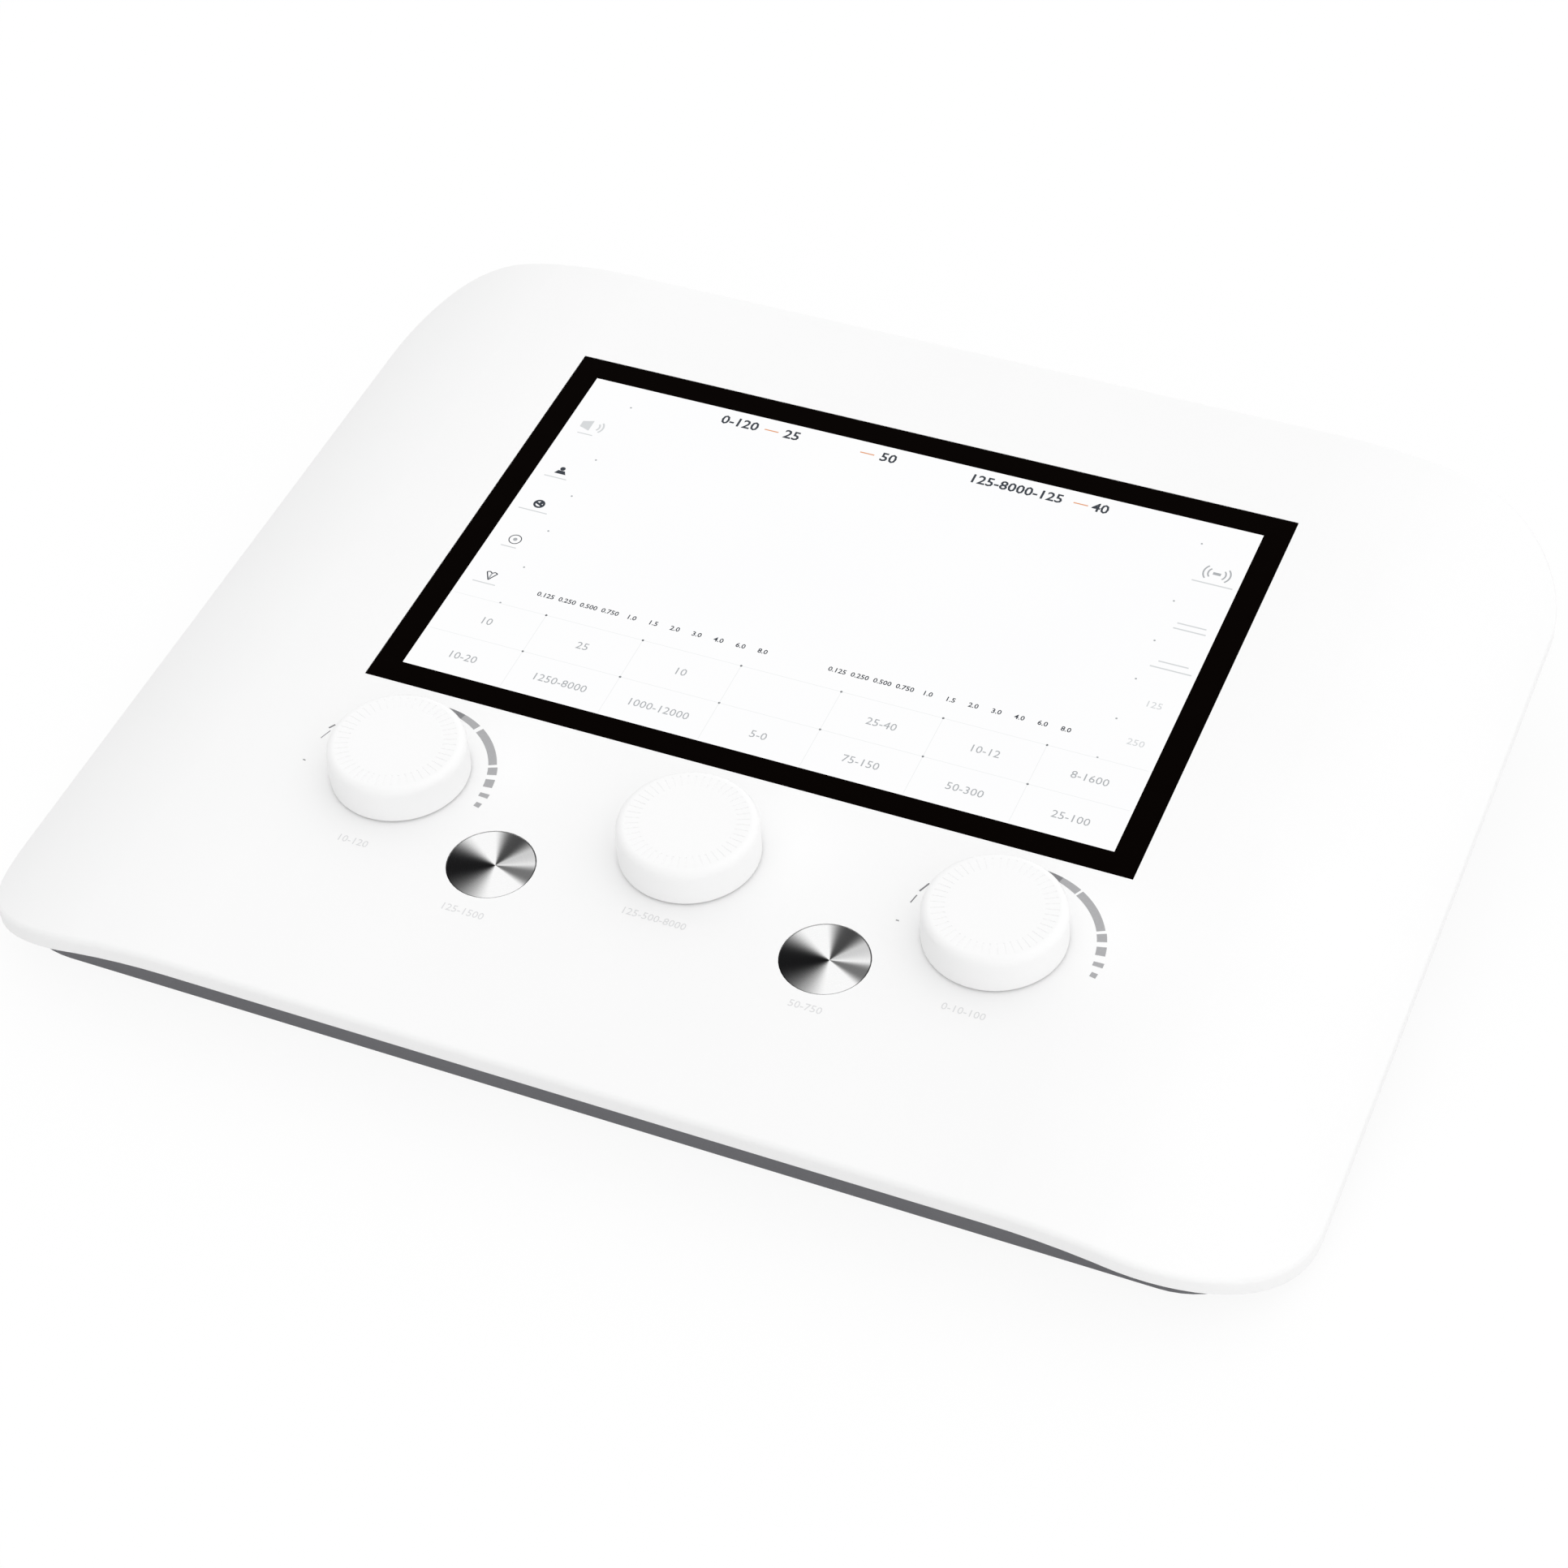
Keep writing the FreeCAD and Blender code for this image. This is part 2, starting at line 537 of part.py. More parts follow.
def top_cover():
    """White upper housing with its screen recess, dial and key openings, and bosses."""
    root = UNDERSIDE + COVER_WALL / 2
    screen_frame = centred_box(
        0,
        SCREEN_MIDDLE,
        LCD_HALF_WIDTH + LCD_GAP + SCREEN_FRAME_WALL,
        LCD_HALF_DEPTH + LCD_GAP + SCREEN_FRAME_WALL,
        (UNDERSIDE - SCREEN_FRAME_HEIGHT, root),
    )
    sleeve_radius = KEY_RADIUS + KEY_FLANGE_REACH + PLAY
    sleeve_foot = UNDERSIDE - KEY_SLEEVE_DEPTH
    sleeves = uprights(KEY_SPOTS.values(), sleeve_radius + KEY_SLEEVE_WALL, sleeve_foot, root)
    control_bosses = uprights(control_boss_spots(), SMALL_BOSS_RADIUS, BOARD_TOP, root)
    bracket_bosses = uprights(bracket_boss_spots(), SMALL_BOSS_RADIUS, LCD_BACK, root)
    added = [screen_frame] + sleeves + control_bosses + bracket_bosses + housing_posts()
    body = cover_shell().fuse(added)

    glass_recess = centred_box(
        0, SCREEN_MIDDLE, GLASS_HALF_WIDTH + SEAT, GLASS_HALF_DEPTH + SEAT, (LEDGE, 1.0)
    )
    dial_holes = uprights(KNOB_SPOTS.values(), BUSH_RADIUS + BUSH_HOLE_GAP, UNDERSIDE - 1.0, 1.0)
    key_holes = uprights(KEY_SPOTS.values(), KEY_RADIUS + PLAY, UNDERSIDE - 1.0, 1.0)
    key_rooms = uprights(KEY_SPOTS.values(), sleeve_radius, sleeve_foot - 1.0, UNDERSIDE)
    control_end = BOARD_TOP + CONTROL_SCREW_GRIP + SEAT
    control_pilots = uprights(control_boss_spots(), SMALL_SCREW + SLIP, BOARD_TOP - 1.0, control_end)
    bracket_end = LCD_BACK + BRACKET_SCREW_GRIP + SEAT
    bracket_pilots = uprights(bracket_boss_spots(), SMALL_SCREW + SLIP, LCD_BACK - 1.0, bracket_end)
    post_end = HOUSING_TUBE_TOP + HOUSING_SCREW_GRIP + SEAT
    post_pilots = uprights(housing_boss_spots(), HOUSING_SCREW + SLIP, HOUSING_TUBE_TOP - 1.0, post_end)
    post_pilots = [desk_to_panel(pilot) for pilot in post_pilots]
    removed = [glass_recess, screen_opening()] + dial_holes + key_holes + key_rooms
    removed = removed + control_pilots + bracket_pilots + post_pilots
    return body.cut(removed)


def base_slots():
    """Cooling slots and loudspeaker slots through the base floor."""
    z_range = (BASE_BOTTOM - 1.0, FLOOR + 1.0)
    slots = []
    vent_y = MAIN_BOARD_FRONT - VENT_LENGTH / 2 - VENT_PITCH
    for index in range(VENT_COUNT):
        x = (index - (VENT_COUNT - 1) / 2) * VENT_PITCH
        slots.append(centred_box(x, vent_y, VENT_WIDTH / 2, VENT_LENGTH / 2, z_range))
    reach = SPEAKER_RADIUS - SPEAKER_SLOT_EDGE
    slot_steps = int(reach / SPEAKER_SLOT_PITCH)
    for index in range(-slot_steps, slot_steps + 1):
        offset = index * SPEAKER_SLOT_PITCH
        half_length = math.sqrt(max(reach ** 2 - offset ** 2, SPEAKER_SLOT_WIDTH ** 2))
        x = SPEAKER_X + offset
        slots.append(centred_box(x, SPEAKER_Y, SPEAKER_SLOT_WIDTH / 2, half_length, z_range))
    return slots


def base_shell():
    """Grey tub under the cover, open at the top, before its bosses and openings."""
    z_range = (BASE_BOTTOM, FAR / 4)
    tub = rounded_plate(
        BASE_WIDTH / 2, BASE_FRONT_INSET, BASE_BACK, BASE_FRONT_CORNER, BASE_BACK_CORNER, z_range
    )
    bottom_edges = [edge for edge in tub.Edges if edge.BoundBox.ZMax < BASE_BOTTOM + 0.01]
    tub = tub.makeFillet(BASE_EDGE_FILLET, bottom_edges)
    tub = tub.common(panel_to_desk(space_below_panel(COVER_WALL + SEAT)))
    room = rounded_plate(
        BASE_WIDTH / 2 - BASE_WALL,
        BASE_FRONT_INSET + BASE_WALL,
        BASE_BACK - BACK_WALL,
        BASE_FRONT_CORNER - BASE_WALL,
        BASE_BACK_CORNER - BACK_WALL,
        (FLOOR, FAR / 4 + 1.0),
    )
    return tub.cut(room)


def base_tub():
    """Dark grey lower housing with its bosses, slots, foot recesses and rear opening."""
    root = FLOOR - BASE_WALL / 2
    tubes = uprights(housing_boss_spots(), HOUSING_TUBE_RADIUS, root, HOUSING_TUBE_TOP)
    standoffs = uprights(main_boss_spots(), SMALL_BOSS_RADIUS, root, MAIN_BOARD_BOTTOM)
    ring_radius = SPEAKER_RADIUS + SEAT
    ring_top = FLOOR + SPEAKER_RIM_HEIGHT
    speaker_ring = upright(SPEAKER_X, SPEAKER_Y, ring_radius + SPEAKER_RING_WALL, root, ring_top)
    rear_pilot_end = BASE_BACK - REAR_SCREW_GRIP - SEAT
    rear_boss_end = rear_pilot_end - REAR_BOSS_END
    rear_bosses = levels(rear_screw_spots(), SMALL_BOSS_RADIUS, rear_boss_end, REAR_PANEL_INSIDE)
    body = base_shell().fuse(tubes + standoffs + [speaker_ring] + rear_bosses)

    well_radius = HOUSING_SCREW + HEAD_EXTRA + PLAY
    screw_wells = uprights(housing_boss_spots(), well_radius, BASE_BOTTOM - 1.0, HOUSING_SCREW_SEAT)
    screw_holes = uprights(housing_boss_spots(), HOUSING_SCREW + SLIP, BASE_BOTTOM, HOUSING_TUBE_TOP + 1.0)
    pilot_end = MAIN_BOARD_BOTTOM - MAIN_SCREW_GRIP - SEAT
    pilots = uprights(main_boss_spots(), SMALL_SCREW + SLIP, pilot_end, MAIN_BOARD_BOTTOM + 1.0)
    speaker_seat = upright(SPEAKER_X, SPEAKER_Y, ring_radius, FLOOR, ring_top + 1.0)
    recess_top = BASE_BOTTOM + FOOT_RECESS
    recesses = uprights(foot_spots().values(), FOOT_RADIUS + SEAT, BASE_BOTTOM - 1.0, recess_top)
    panel_half = REAR_PANEL_WIDTH / 2
    panel_z = (REAR_PANEL_BOTTOM, REAR_PANEL_BOTTOM + REAR_PANEL_HEIGHT)
    rebate = box(
        (-panel_half - SEAT, panel_half + SEAT),
        (REAR_PANEL_INSIDE, BASE_BACK + 1.0),
        (panel_z[0] - SEAT, panel_z[1] + SEAT),
    )
    window = box(
        (-REAR_OPENING_HALF, REAR_OPENING_HALF),
        (BASE_BACK - BACK_WALL - 1.0, BASE_BACK + 1.0),
        (panel_z[0] + REAR_PANEL_LEDGE, panel_z[1] - REAR_PANEL_LEDGE),
    )
    rear_pilots = levels(rear_screw_spots(), SMALL_SCREW + SLIP, rear_pilot_end, BASE_BACK)
    removed = screw_wells + screw_holes + pilots + [speaker_seat, rebate, window]
    removed = removed + recesses + rear_pilots + base_slots()
    return body.cut(removed)


def foot(x, y):
    """Rubber foot glued into its recess."""
    disc = upright(x, y, FOOT_RADIUS, BASE_BOTTOM - FOOT_HEIGHT, BASE_BOTTOM + FOOT_RECESS)
    lower_edge = [edge for edge in disc.Edges if edge.BoundBox.ZMax < BASE_BOTTOM - FOOT_HEIGHT + 0.01]
    return disc.makeFillet(FOOT_EDGE_FILLET, lower_edge)


def housing_screws():
    """Six screws from below that hold the base to the cover."""
    tip = HOUSING_TUBE_TOP + HOUSING_SCREW_GRIP
    return group(screw(x, y, HOUSING_SCREW_SEAT, tip, HOUSING_SCREW, True) for x, y in housing_boss_spots())


# ---- Touch screen ----

def display_glass():
    """Cover glass, flush with the panel."""
    return centred_box(0, SCREEN_MIDDLE, GLASS_HALF_WIDTH, GLASS_HALF_DEPTH, (-GLASS_THICKNESS, 0))


def display_gasket():
    """Adhesive frame between the glass and its ledge."""
    z_range = (LEDGE, -GLASS_THICKNESS)
    outer = centred_box(0, SCREEN_MIDDLE, GLASS_HALF_WIDTH, GLASS_HALF_DEPTH, z_range)
    return outer.cut(screen_opening())


def lcd_module():
    """Colour display, bonded to the back of the glass."""
    z_range = (LCD_BACK, -GLASS_THICKNESS)
    return centred_box(0, SCREEN_MIDDLE, LCD_HALF_WIDTH, LCD_HALF_DEPTH, z_range)


def display_bracket():
    """Sheet-metal plate behind the display, with two windows and a flange along each long edge."""
    half_width = BRACKET_BOSS_X + SMALL_BOSS_RADIUS
    z_range = (LCD_BACK - BRACKET_THICKNESS, LCD_BACK)
    plate = centred_box(0, SCREEN_MIDDLE, half_width, LCD_HALF_DEPTH, z_range)
    flanges = []
    for side in (-1, 1):
        edge = SCREEN_MIDDLE + side * (LCD_HALF_DEPTH - BRACKET_THICKNESS / 2)
        flange_z = (LCD_BACK - BRACKET_THICKNESS - BRACKET_FLANGE, LCD_BACK - BRACKET_THICKNESS / 2)
        flanges.append(centred_box(0, edge, LCD_HALF_WIDTH, BRACKET_THICKNESS / 2, flange_z))
    cut_z = (z_range[0] - 1.0, z_range[1] + 1.0)
    window_half = (LCD_HALF_WIDTH - 1.5 * BRACKET_RIB) / 2
    window_depth = LCD_HALF_DEPTH - BRACKET_RIB
    window_x = BRACKET_RIB / 2 + window_half
    windows = [centred_box(x, SCREEN_MIDDLE, window_half, window_depth, cut_z) for x in (-window_x, window_x)]
    holes = uprights(bracket_boss_spots(), SMALL_SCREW + SLIP, cut_z[0], cut_z[1])
    return joined(plate, flanges).cut(windows + holes)


def bracket_screws():
    """Four screws that hold the display bracket to the cover."""
    seat = LCD_BACK - BRACKET_THICKNESS
    tip = LCD_BACK + BRACKET_SCREW_GRIP
    return group(screw(x, y, seat, tip, SMALL_SCREW, True) for x, y in bracket_boss_spots())


# ---- Dials ----

def knob_grip():
    """Ring of shallow radial grooves in the dial's top, just inside its rounding."""
    reach = KNOB_RADIUS - KNOB_ROUND - GRIP_MARGIN
    z_range = (KNOB_HEIGHT - GRIP_DEPTH, KNOB_HEIGHT + 1.0)
    groove = box((reach - GRIP_LENGTH, reach), (-GRIP_WIDTH / 2, GRIP_WIDTH / 2), z_range)
    step = 360.0 / GRIP_COUNT
    return [groove.rotated(Vector(0, 0, 0), Vector(0, 0, 1), step * index) for index in range(GRIP_COUNT)]


def shaft_section(extra, z_low, z_high):
    """Round bar with one flat: the encoder shaft's end, or the dial's bore when grown by `extra`."""
    bar = upright(0, 0, SHAFT_RADIUS + extra, z_low, z_high)
    beyond = box((SHAFT_RADIUS - SHAFT_FLAT + extra, FAR), (-FAR, FAR), (z_low - 1.0, z_high + 1.0))
    return bar.cut(beyond)


def shaft_top():
    """Height of the encoder shaft's end over the panel."""
    return KNOB_HEIGHT - KNOB_WALL - PLAY


def knob(x, y):
    """White dial: rounded upper edge, grooved top, hollow underside and a hub with a flat in its bore."""
    body = upright(0, 0, KNOB_RADIUS, KNOB_LIFT, KNOB_HEIGHT)
    ring = [edge for edge in body.Edges if edge.BoundBox.ZMin > KNOB_HEIGHT - 0.01]
    body = body.makeFillet(KNOB_ROUND, ring)
    ceiling = KNOB_HEIGHT - KNOB_CAP
    hollow = upright(0, 0, KNOB_RADIUS - KNOB_WALL, KNOB_LIFT - 1.0, ceiling)
    hub_foot = BUSH_HEIGHT + PLAY
    hub = upright(0, 0, SHAFT_RADIUS + KNOB_HUB_WALL, hub_foot, ceiling + KNOB_WALL / 2)
    bore = shaft_section(SLIP, hub_foot - 1.0, shaft_top() + SEAT)
    body = joined(body.cut(hollow), [hub])
    body = body.cut([bore] + knob_grip())
    return body.translated(Vector(x, y, 0))


def encoder(x, y):
    """Optical encoder clamped to the panel: square body, threaded bush, chamber for the shaft's collar."""
    half = ENCODER_SIDE / 2
    body = centred_box(0, 0, half, half, (BOARD_TOP, UNDERSIDE))
    bush = upright(0, 0, BUSH_RADIUS, UNDERSIDE - 1.0, BUSH_HEIGHT)
    chamber_top = UNDERSIDE - BUSH_ROOF
    chamber_floor = chamber_top - SHAFT_COLLAR_HEIGHT - 2 * SEAT
    chamber = upright(0, 0, SHAFT_RADIUS + SHAFT_COLLAR + PLAY, chamber_floor, chamber_top)
    bore = upright(0, 0, SHAFT_RADIUS + SLIP, chamber_top - 0.1, BUSH_HEIGHT + 1.0)
    pivot_foot = chamber_floor - SHAFT_TAIL_LENGTH - SEAT
    pivot = upright(0, 0, SHAFT_TAIL_RADIUS + SLIP, pivot_foot, chamber_floor + 0.1)
    return joined(body, [bush]).cut([chamber, bore, pivot]).translated(Vector(x, y, 0))


def encoder_shaft(x, y):
    """Turning shaft: tail in its pivot, collar in its chamber, and an end with a flat."""
    collar_top = UNDERSIDE - BUSH_ROOF - SEAT
    collar_foot = collar_top - SHAFT_COLLAR_HEIGHT
    tail = upright(0, 0, SHAFT_TAIL_RADIUS, collar_foot - SHAFT_TAIL_LENGTH, collar_foot + 0.5)
    collar = upright(0, 0, SHAFT_RADIUS + SHAFT_COLLAR, collar_foot, collar_top)
    neck = upright(0, 0, SHAFT_RADIUS, collar_top - 0.5, BUSH_HEIGHT + SEAT)
    end = shaft_section(0, BUSH_HEIGHT, shaft_top())
    return joined(neck, [tail, collar, end]).translated(Vector(x, y, 0))


def encoder_washers():
    """One washer round each bush, on the panel."""
    washers = []
    for x, y in KNOB_SPOTS.values():
        disc = upright(x, y, BUSH_RADIUS + WASHER_REACH, 0, WASHER_THICKNESS)
        washers.append(disc.cut(upright(x, y, BUSH_RADIUS + BUSH_HOLE_GAP, -1.0, WASHER_THICKNESS + 1.0)))
    return group(washers)


def encoder_nuts():
    """One hexagonal nut round each bush, on its washer."""
    nuts = []
    for x, y in KNOB_SPOTS.values():
        block = hexagon(BUSH_RADIUS + NUT_WALL, NUT_HEIGHT)
        block = block.cut(upright(0, 0, BUSH_RADIUS + SLIP, -1.0, NUT_HEIGHT + 1.0))
        nuts.append(block.translated(Vector(x, y, WASHER_THICKNESS)))
    return group(nuts)


# ---- Keys ----

def plunger_foot():
    """Height of the plunger stem's lower end at rest."""
    return BOARD_TOP + KEY_TRAVEL + KEY_STOP_GAP + PAD_THICKNESS


def flange_top():
    """Height of the plunger flange's upper face at rest."""
    return UNDERSIDE - KEY_STOP_GAP


def key_cap(x, y):
    """Spun aluminium disc, flush with the panel."""
    disc = upright(x, y, KEY_RADIUS, -KEY_CAP_THICKNESS, 0)
    upper_edge = [edge for edge in disc.Edges if edge.BoundBox.ZMin > -0.01]
    return disc.makeChamfer(KEY_CAP_CHAMFER, upper_edge)


def key_plunger(x, y):
    """Plastic plunger under the cap: neck, retaining flange and stem with a socket for the pad."""
    flange_foot = flange_top() - KEY_FLANGE_THICKNESS
    neck = upright(x, y, KEY_RADIUS - PLAY, flange_foot, -KEY_CAP_THICKNESS)
    flange = upright(x, y, KEY_RADIUS + KEY_FLANGE_REACH, flange_foot, flange_top())
    stem = upright(x, y, KEY_STEM_RADIUS, plunger_foot(), flange_foot + 0.5)
    socket_top = plunger_foot() + PAD_SPIGOT_LENGTH + SEAT
    socket = upright(x, y, PAD_SPIGOT_RADIUS + SLIP, plunger_foot() - 1.0, socket_top)
    return joined(flange, [neck, stem]).cut(socket)


def key_pad(x, y):
    """Silicone contact pad under the plunger's stem."""
    disc = upright(x, y, KEY_STEM_RADIUS - SEAT, plunger_foot() - PAD_THICKNESS, plunger_foot())
    spigot = upright(x, y, PAD_SPIGOT_RADIUS, plunger_foot() - 0.5, plunger_foot() + PAD_SPIGOT_LENGTH)
    return joined(disc, [spigot])


def key_spring(x, y):
    """Coil spring of square wire between the plunger's flange and the board."""
    half = SPRING_WIRE / 2
    foot_height = BOARD_TOP + half + SLIP
    head_height = flange_top() - KEY_FLANGE_THICKNESS - half - SLIP
    rise = head_height - foot_height
    helix = Part.makeHelix(rise / SPRING_TURNS, rise, SPRING_RADIUS)
    corners = [(-half, -half), (half, -half), (half, half), (-half, half), (-half, -half)]
    section = Part.makePolygon([Vector(SPRING_RADIUS + across, 0, along) for across, along in corners])
    coil = Part.Wire(helix).makePipeShell([section], True, True)
    return coil.translated(Vector(x, y, foot_height))


# ---- Boards ----

def control_board():
    """Circuit board that carries the encoders and the keys' contacts."""
    half_width = KNOB_PITCH + CONTROL_BOARD_SIDE
    y_range = (KEY_ROW - CONTROL_BOARD_FRONT, KNOB_ROW + CONTROL_BOARD_BACK)
    board = box((-half_width, half_width), y_range, (BOARD_UNDERSIDE, BOARD_TOP))
    holes = uprights(control_boss_spots(), SMALL_SCREW + SLIP, BOARD_UNDERSIDE - 1.0, BOARD_TOP + 1.0)
    return board.cut(holes)


def control_board_screws():
    """Five screws that hold the control board to the cover."""
    tip = BOARD_TOP + CONTROL_SCREW_GRIP
    return group(screw(x, y, BOARD_UNDERSIDE, tip, SMALL_SCREW, True) for x, y in control_boss_spots())


def main_board():
    """Circuit board on the base floor that carries the processor and the sockets."""
    x_range = (-MAIN_BOARD_HALF_WIDTH, MAIN_BOARD_HALF_WIDTH)
    z_range = (MAIN_BOARD_BOTTOM, MAIN_BOARD_TOP)
    board = box(x_range, (MAIN_BOARD_FRONT, MAIN_BOARD_BACK), z_range)
    return board.cut(uprights(main_boss_spots(), SMALL_SCREW + SLIP, z_range[0] - 1.0, z_range[1] + 1.0))


def main_board_screws():
    """Four screws that hold the main board to the base."""
    tip = MAIN_BOARD_BOTTOM - MAIN_SCREW_GRIP
    return group(screw(x, y, MAIN_BOARD_TOP, tip, SMALL_SCREW, False) for x, y in main_boss_spots())


def processor_shield():
    """Tin lid over the processor, open towards the board."""
    middle = (MAIN_BOARD_FRONT + MAIN_BOARD_BACK - JACK_LENGTH) / 2
    half = SHIELD_SIDE / 2
    lid = centred_box(SHIELD_X, middle, half, half, (MAIN_BOARD_TOP, MAIN_BOARD_TOP + SHIELD_HEIGHT))
    room = centred_box(
        SHIELD_X,
        middle,
        half - SHIELD_WALL,
        half - SHIELD_WALL,
        (MAIN_BOARD_TOP - 1.0, MAIN_BOARD_TOP + SHIELD_HEIGHT - SHIELD_WALL),
    )
    return lid.cut(room)


def capacitors():
    """Row of supply capacitors on the main board."""
    middle = (MAIN_BOARD_FRONT + MAIN_BOARD_BACK - JACK_LENGTH) / 2
    return group(
        upright(
            CAPACITOR_X + index * CAPACITOR_PITCH,
            middle,
            CAPACITOR_RADIUS,
            MAIN_BOARD_TOP,
            MAIN_BOARD_TOP + CAPACITOR_HEIGHT,
        )
        for index in range(CAPACITOR_COUNT)
    )


def desk_point(y, z):
    """Desk-frame (y, z) of a point given in the panel frame."""
    return (y * math.cos(TILT) - z * math.sin(TILT), y * math.sin(TILT) + z * math.cos(TILT))


def connector_front():
    """Front and back of the main board's ribbon connectors."""
    front = MAIN_BOARD_FRONT + CONNECTOR_WALL
    return (front, front + CONNECTOR_DEPTH)


def control_plug_range():
    """Front and back of the control board's connector, in the panel frame."""
    back = KNOB_ROW + CONTROL_BOARD_BACK - CONNECTOR_WALL
    return (back - CONNECTOR_DEPTH, back)


def display_plug_range():
    """Front and back of the display's connector, in the panel frame."""
    front = SCREEN_MIDDLE - LCD_HALF_DEPTH + BRACKET_RIB + CONNECTOR_WALL
    return (front, front + CONNECTOR_DEPTH)


def ribbon_solid(x, points):
    """Flat ribbon whose centre line runs through (y, z) points, extruded along X."""
    half = RIBBON_THICKNESS / 2
    upper = []
    lower = []
    for index, (y, z) in enumerate(points):
        before = points[max(index - 1, 0)]
        after = points[min(index + 1, len(points) - 1)]
        into = Vector(0, y - before[0], z - before[1])
        out = Vector(0, after[0] - y, after[1] - z)
        into = out if into.Length == 0 else into
        out = into if out.Length == 0 else out
        bisector = into.normalize() + out.normalize()
        normal = Vector(0, -bisector.z, bisector.y).normalize()
        reach = half / normal.dot(Vector(0, -into.z, into.y))
        upper.append(Vector(0, y, z) + normal * reach)
        lower.append(Vector(0, y, z) - normal * reach)
    outline = Part.makePolygon(upper + lower[::-1] + [upper[0]])
    strip = Part.Face(outline).extrude(Vector(RIBBON_WIDTH, 0, 0))
    return strip.translated(Vector(x - RIBBON_WIDTH / 2, 0, 0))


def ribbon(x, plug_range, plug_face, landing_range):
    """Ribbon from a plug under the panel down to the main board's connector, in the desk frame."""
    start_y = sum(plug_range) / 2
    start = desk_point(start_y, plug_face - CONNECTOR_HEIGHT)
    drop = desk_point(start_y, plug_face - CONNECTOR_HEIGHT - RIBBON_DROP)
    end_y = sum(landing_range) / 2
    end_z = MAIN_BOARD_TOP + CONNECTOR_HEIGHT
    return ribbon_solid(x, [start, drop, (end_y, end_z + RIBBON_DROP), (end_y, end_z)])


def control_ribbon():
    """Ribbon between the control board and the main board."""
    return ribbon(CONTROL_RIBBON_X, control_plug_range(), BOARD_UNDERSIDE, connector_front())


def display_ribbon():
    """Ribbon between the display and the main board."""
    return ribbon(DISPLAY_RIBBON_X, display_plug_range(), LCD_BACK, connector_front())


def ribbon_connectors():
    """Four sockets that the ribbons end in, in the desk frame."""
    half_width = RIBBON_WIDTH / 2 + CONNECTOR_WALL
    sockets = []
    for x, plug_range, face in (
        (CONTROL_RIBBON_X, control_plug_range(), BOARD_UNDERSIDE),
        (DISPLAY_RIBBON_X, display_plug_range(), LCD_BACK),
    ):
        upper = box((x - half_width, x + half_width), plug_range, (face - CONNECTOR_HEIGHT, face))
        lower_z = (MAIN_BOARD_TOP, MAIN_BOARD_TOP + CONNECTOR_HEIGHT)
        sockets.append(panel_to_desk(upper))
        sockets.append(box((x - half_width, x + half_width), connector_front(), lower_z))
    return group(sockets)


# ---- Rear panel and sockets ----

def rear_panel():
    """Aluminium plate that fills the base's rear opening and holds the sockets."""
    half = REAR_PANEL_WIDTH / 2
    z_range = (REAR_PANEL_BOTTOM, REAR_PANEL_BOTTOM + REAR_PANEL_HEIGHT)
    plate = box((-half, half), (REAR_PANEL_INSIDE, BASE_BACK), z_range)
    y_low = REAR_PANEL_INSIDE - 1.0
    y_high = BASE_BACK + 1.0
    jack_axes = [(x, JACK_AXIS_HEIGHT) for x in JACK_SPOTS.values()]
    holes = levels(jack_axes, JACK_NOSE_RADIUS + SEAT, y_low, y_high)
    holes.append(port_block(USB_X, USB_WIDTH, USB_HEIGHT, SEAT, (y_low, y_high)))
    holes.append(port_block(INLET_X, INLET_WIDTH, INLET_HEIGHT, SEAT, (y_low, y_high)))
    holes.append(switch_block(SEAT, (y_low, y_high)))
    return plate.cut(holes + levels(rear_screw_spots(), SMALL_SCREW + SLIP, y_low, y_high))


def rear_panel_screws():
    """Four screws that hold the rear panel to the base."""
    piece = screw(0, 0, 0, -REAR_SCREW_GRIP, SMALL_SCREW, False)
    piece = piece.rotated(Vector(0, 0, 0), Vector(1, 0, 0), -90)
    return group(piece.translated(Vector(x, BASE_BACK, z)) for x, z in rear_screw_spots())


def jack(x):
    """Socket for a 6.35 mm plug: body on the main board and threaded nose through the rear panel."""
    half = JACK_WIDTH / 2
    z = JACK_AXIS_HEIGHT
    body_y = (REAR_PANEL_INSIDE - JACK_LENGTH, REAR_PANEL_INSIDE)
    body = box((x - half, x + half), body_y, (MAIN_BOARD_TOP, MAIN_BOARD_TOP + JACK_HEIGHT))
    nose_end = REAR_PANEL_INSIDE + JACK_NOSE_LENGTH
    nose = level(x, z, JACK_NOSE_RADIUS, REAR_PANEL_INSIDE - 1.0, nose_end)
    bore = level(x, z, JACK_BORE, nose_end - JACK_BORE_DEPTH, nose_end + 1.0)
    return joined(body, [nose]).cut(bore)


def jack_nuts():
    """One nut on each socket's nose, against the rear panel."""
    nuts = []
    for x in JACK_SPOTS.values():
        block = hexagon(JACK_NOSE_RADIUS + NUT_WALL, JACK_NUT_HEIGHT)
        block = block.cut(upright(0, 0, JACK_NOSE_RADIUS + SLIP, -1.0, JACK_NUT_HEIGHT + 1.0))
        block = block.rotated(Vector(0, 0, 0), Vector(1, 0, 0), -90)
        nuts.append(block.translated(Vector(x, BASE_BACK, JACK_AXIS_HEIGHT)))
    return group(nuts)


def port_block(x, width, height, extra, y_range):
    """Block of a port that stands on the main board, grown by `extra` all round."""
    z_range = (MAIN_BOARD_TOP - extra, MAIN_BOARD_TOP + height + extra)
    return box((x - width / 2 - extra, x + width / 2 + extra), y_range, z_range)


def rear_block(x, z, width, height, y_range):
    """Block round the line along Y through (x, z)."""
    return box((x - width / 2, x + width / 2), y_range, (z - height / 2, z + height / 2))


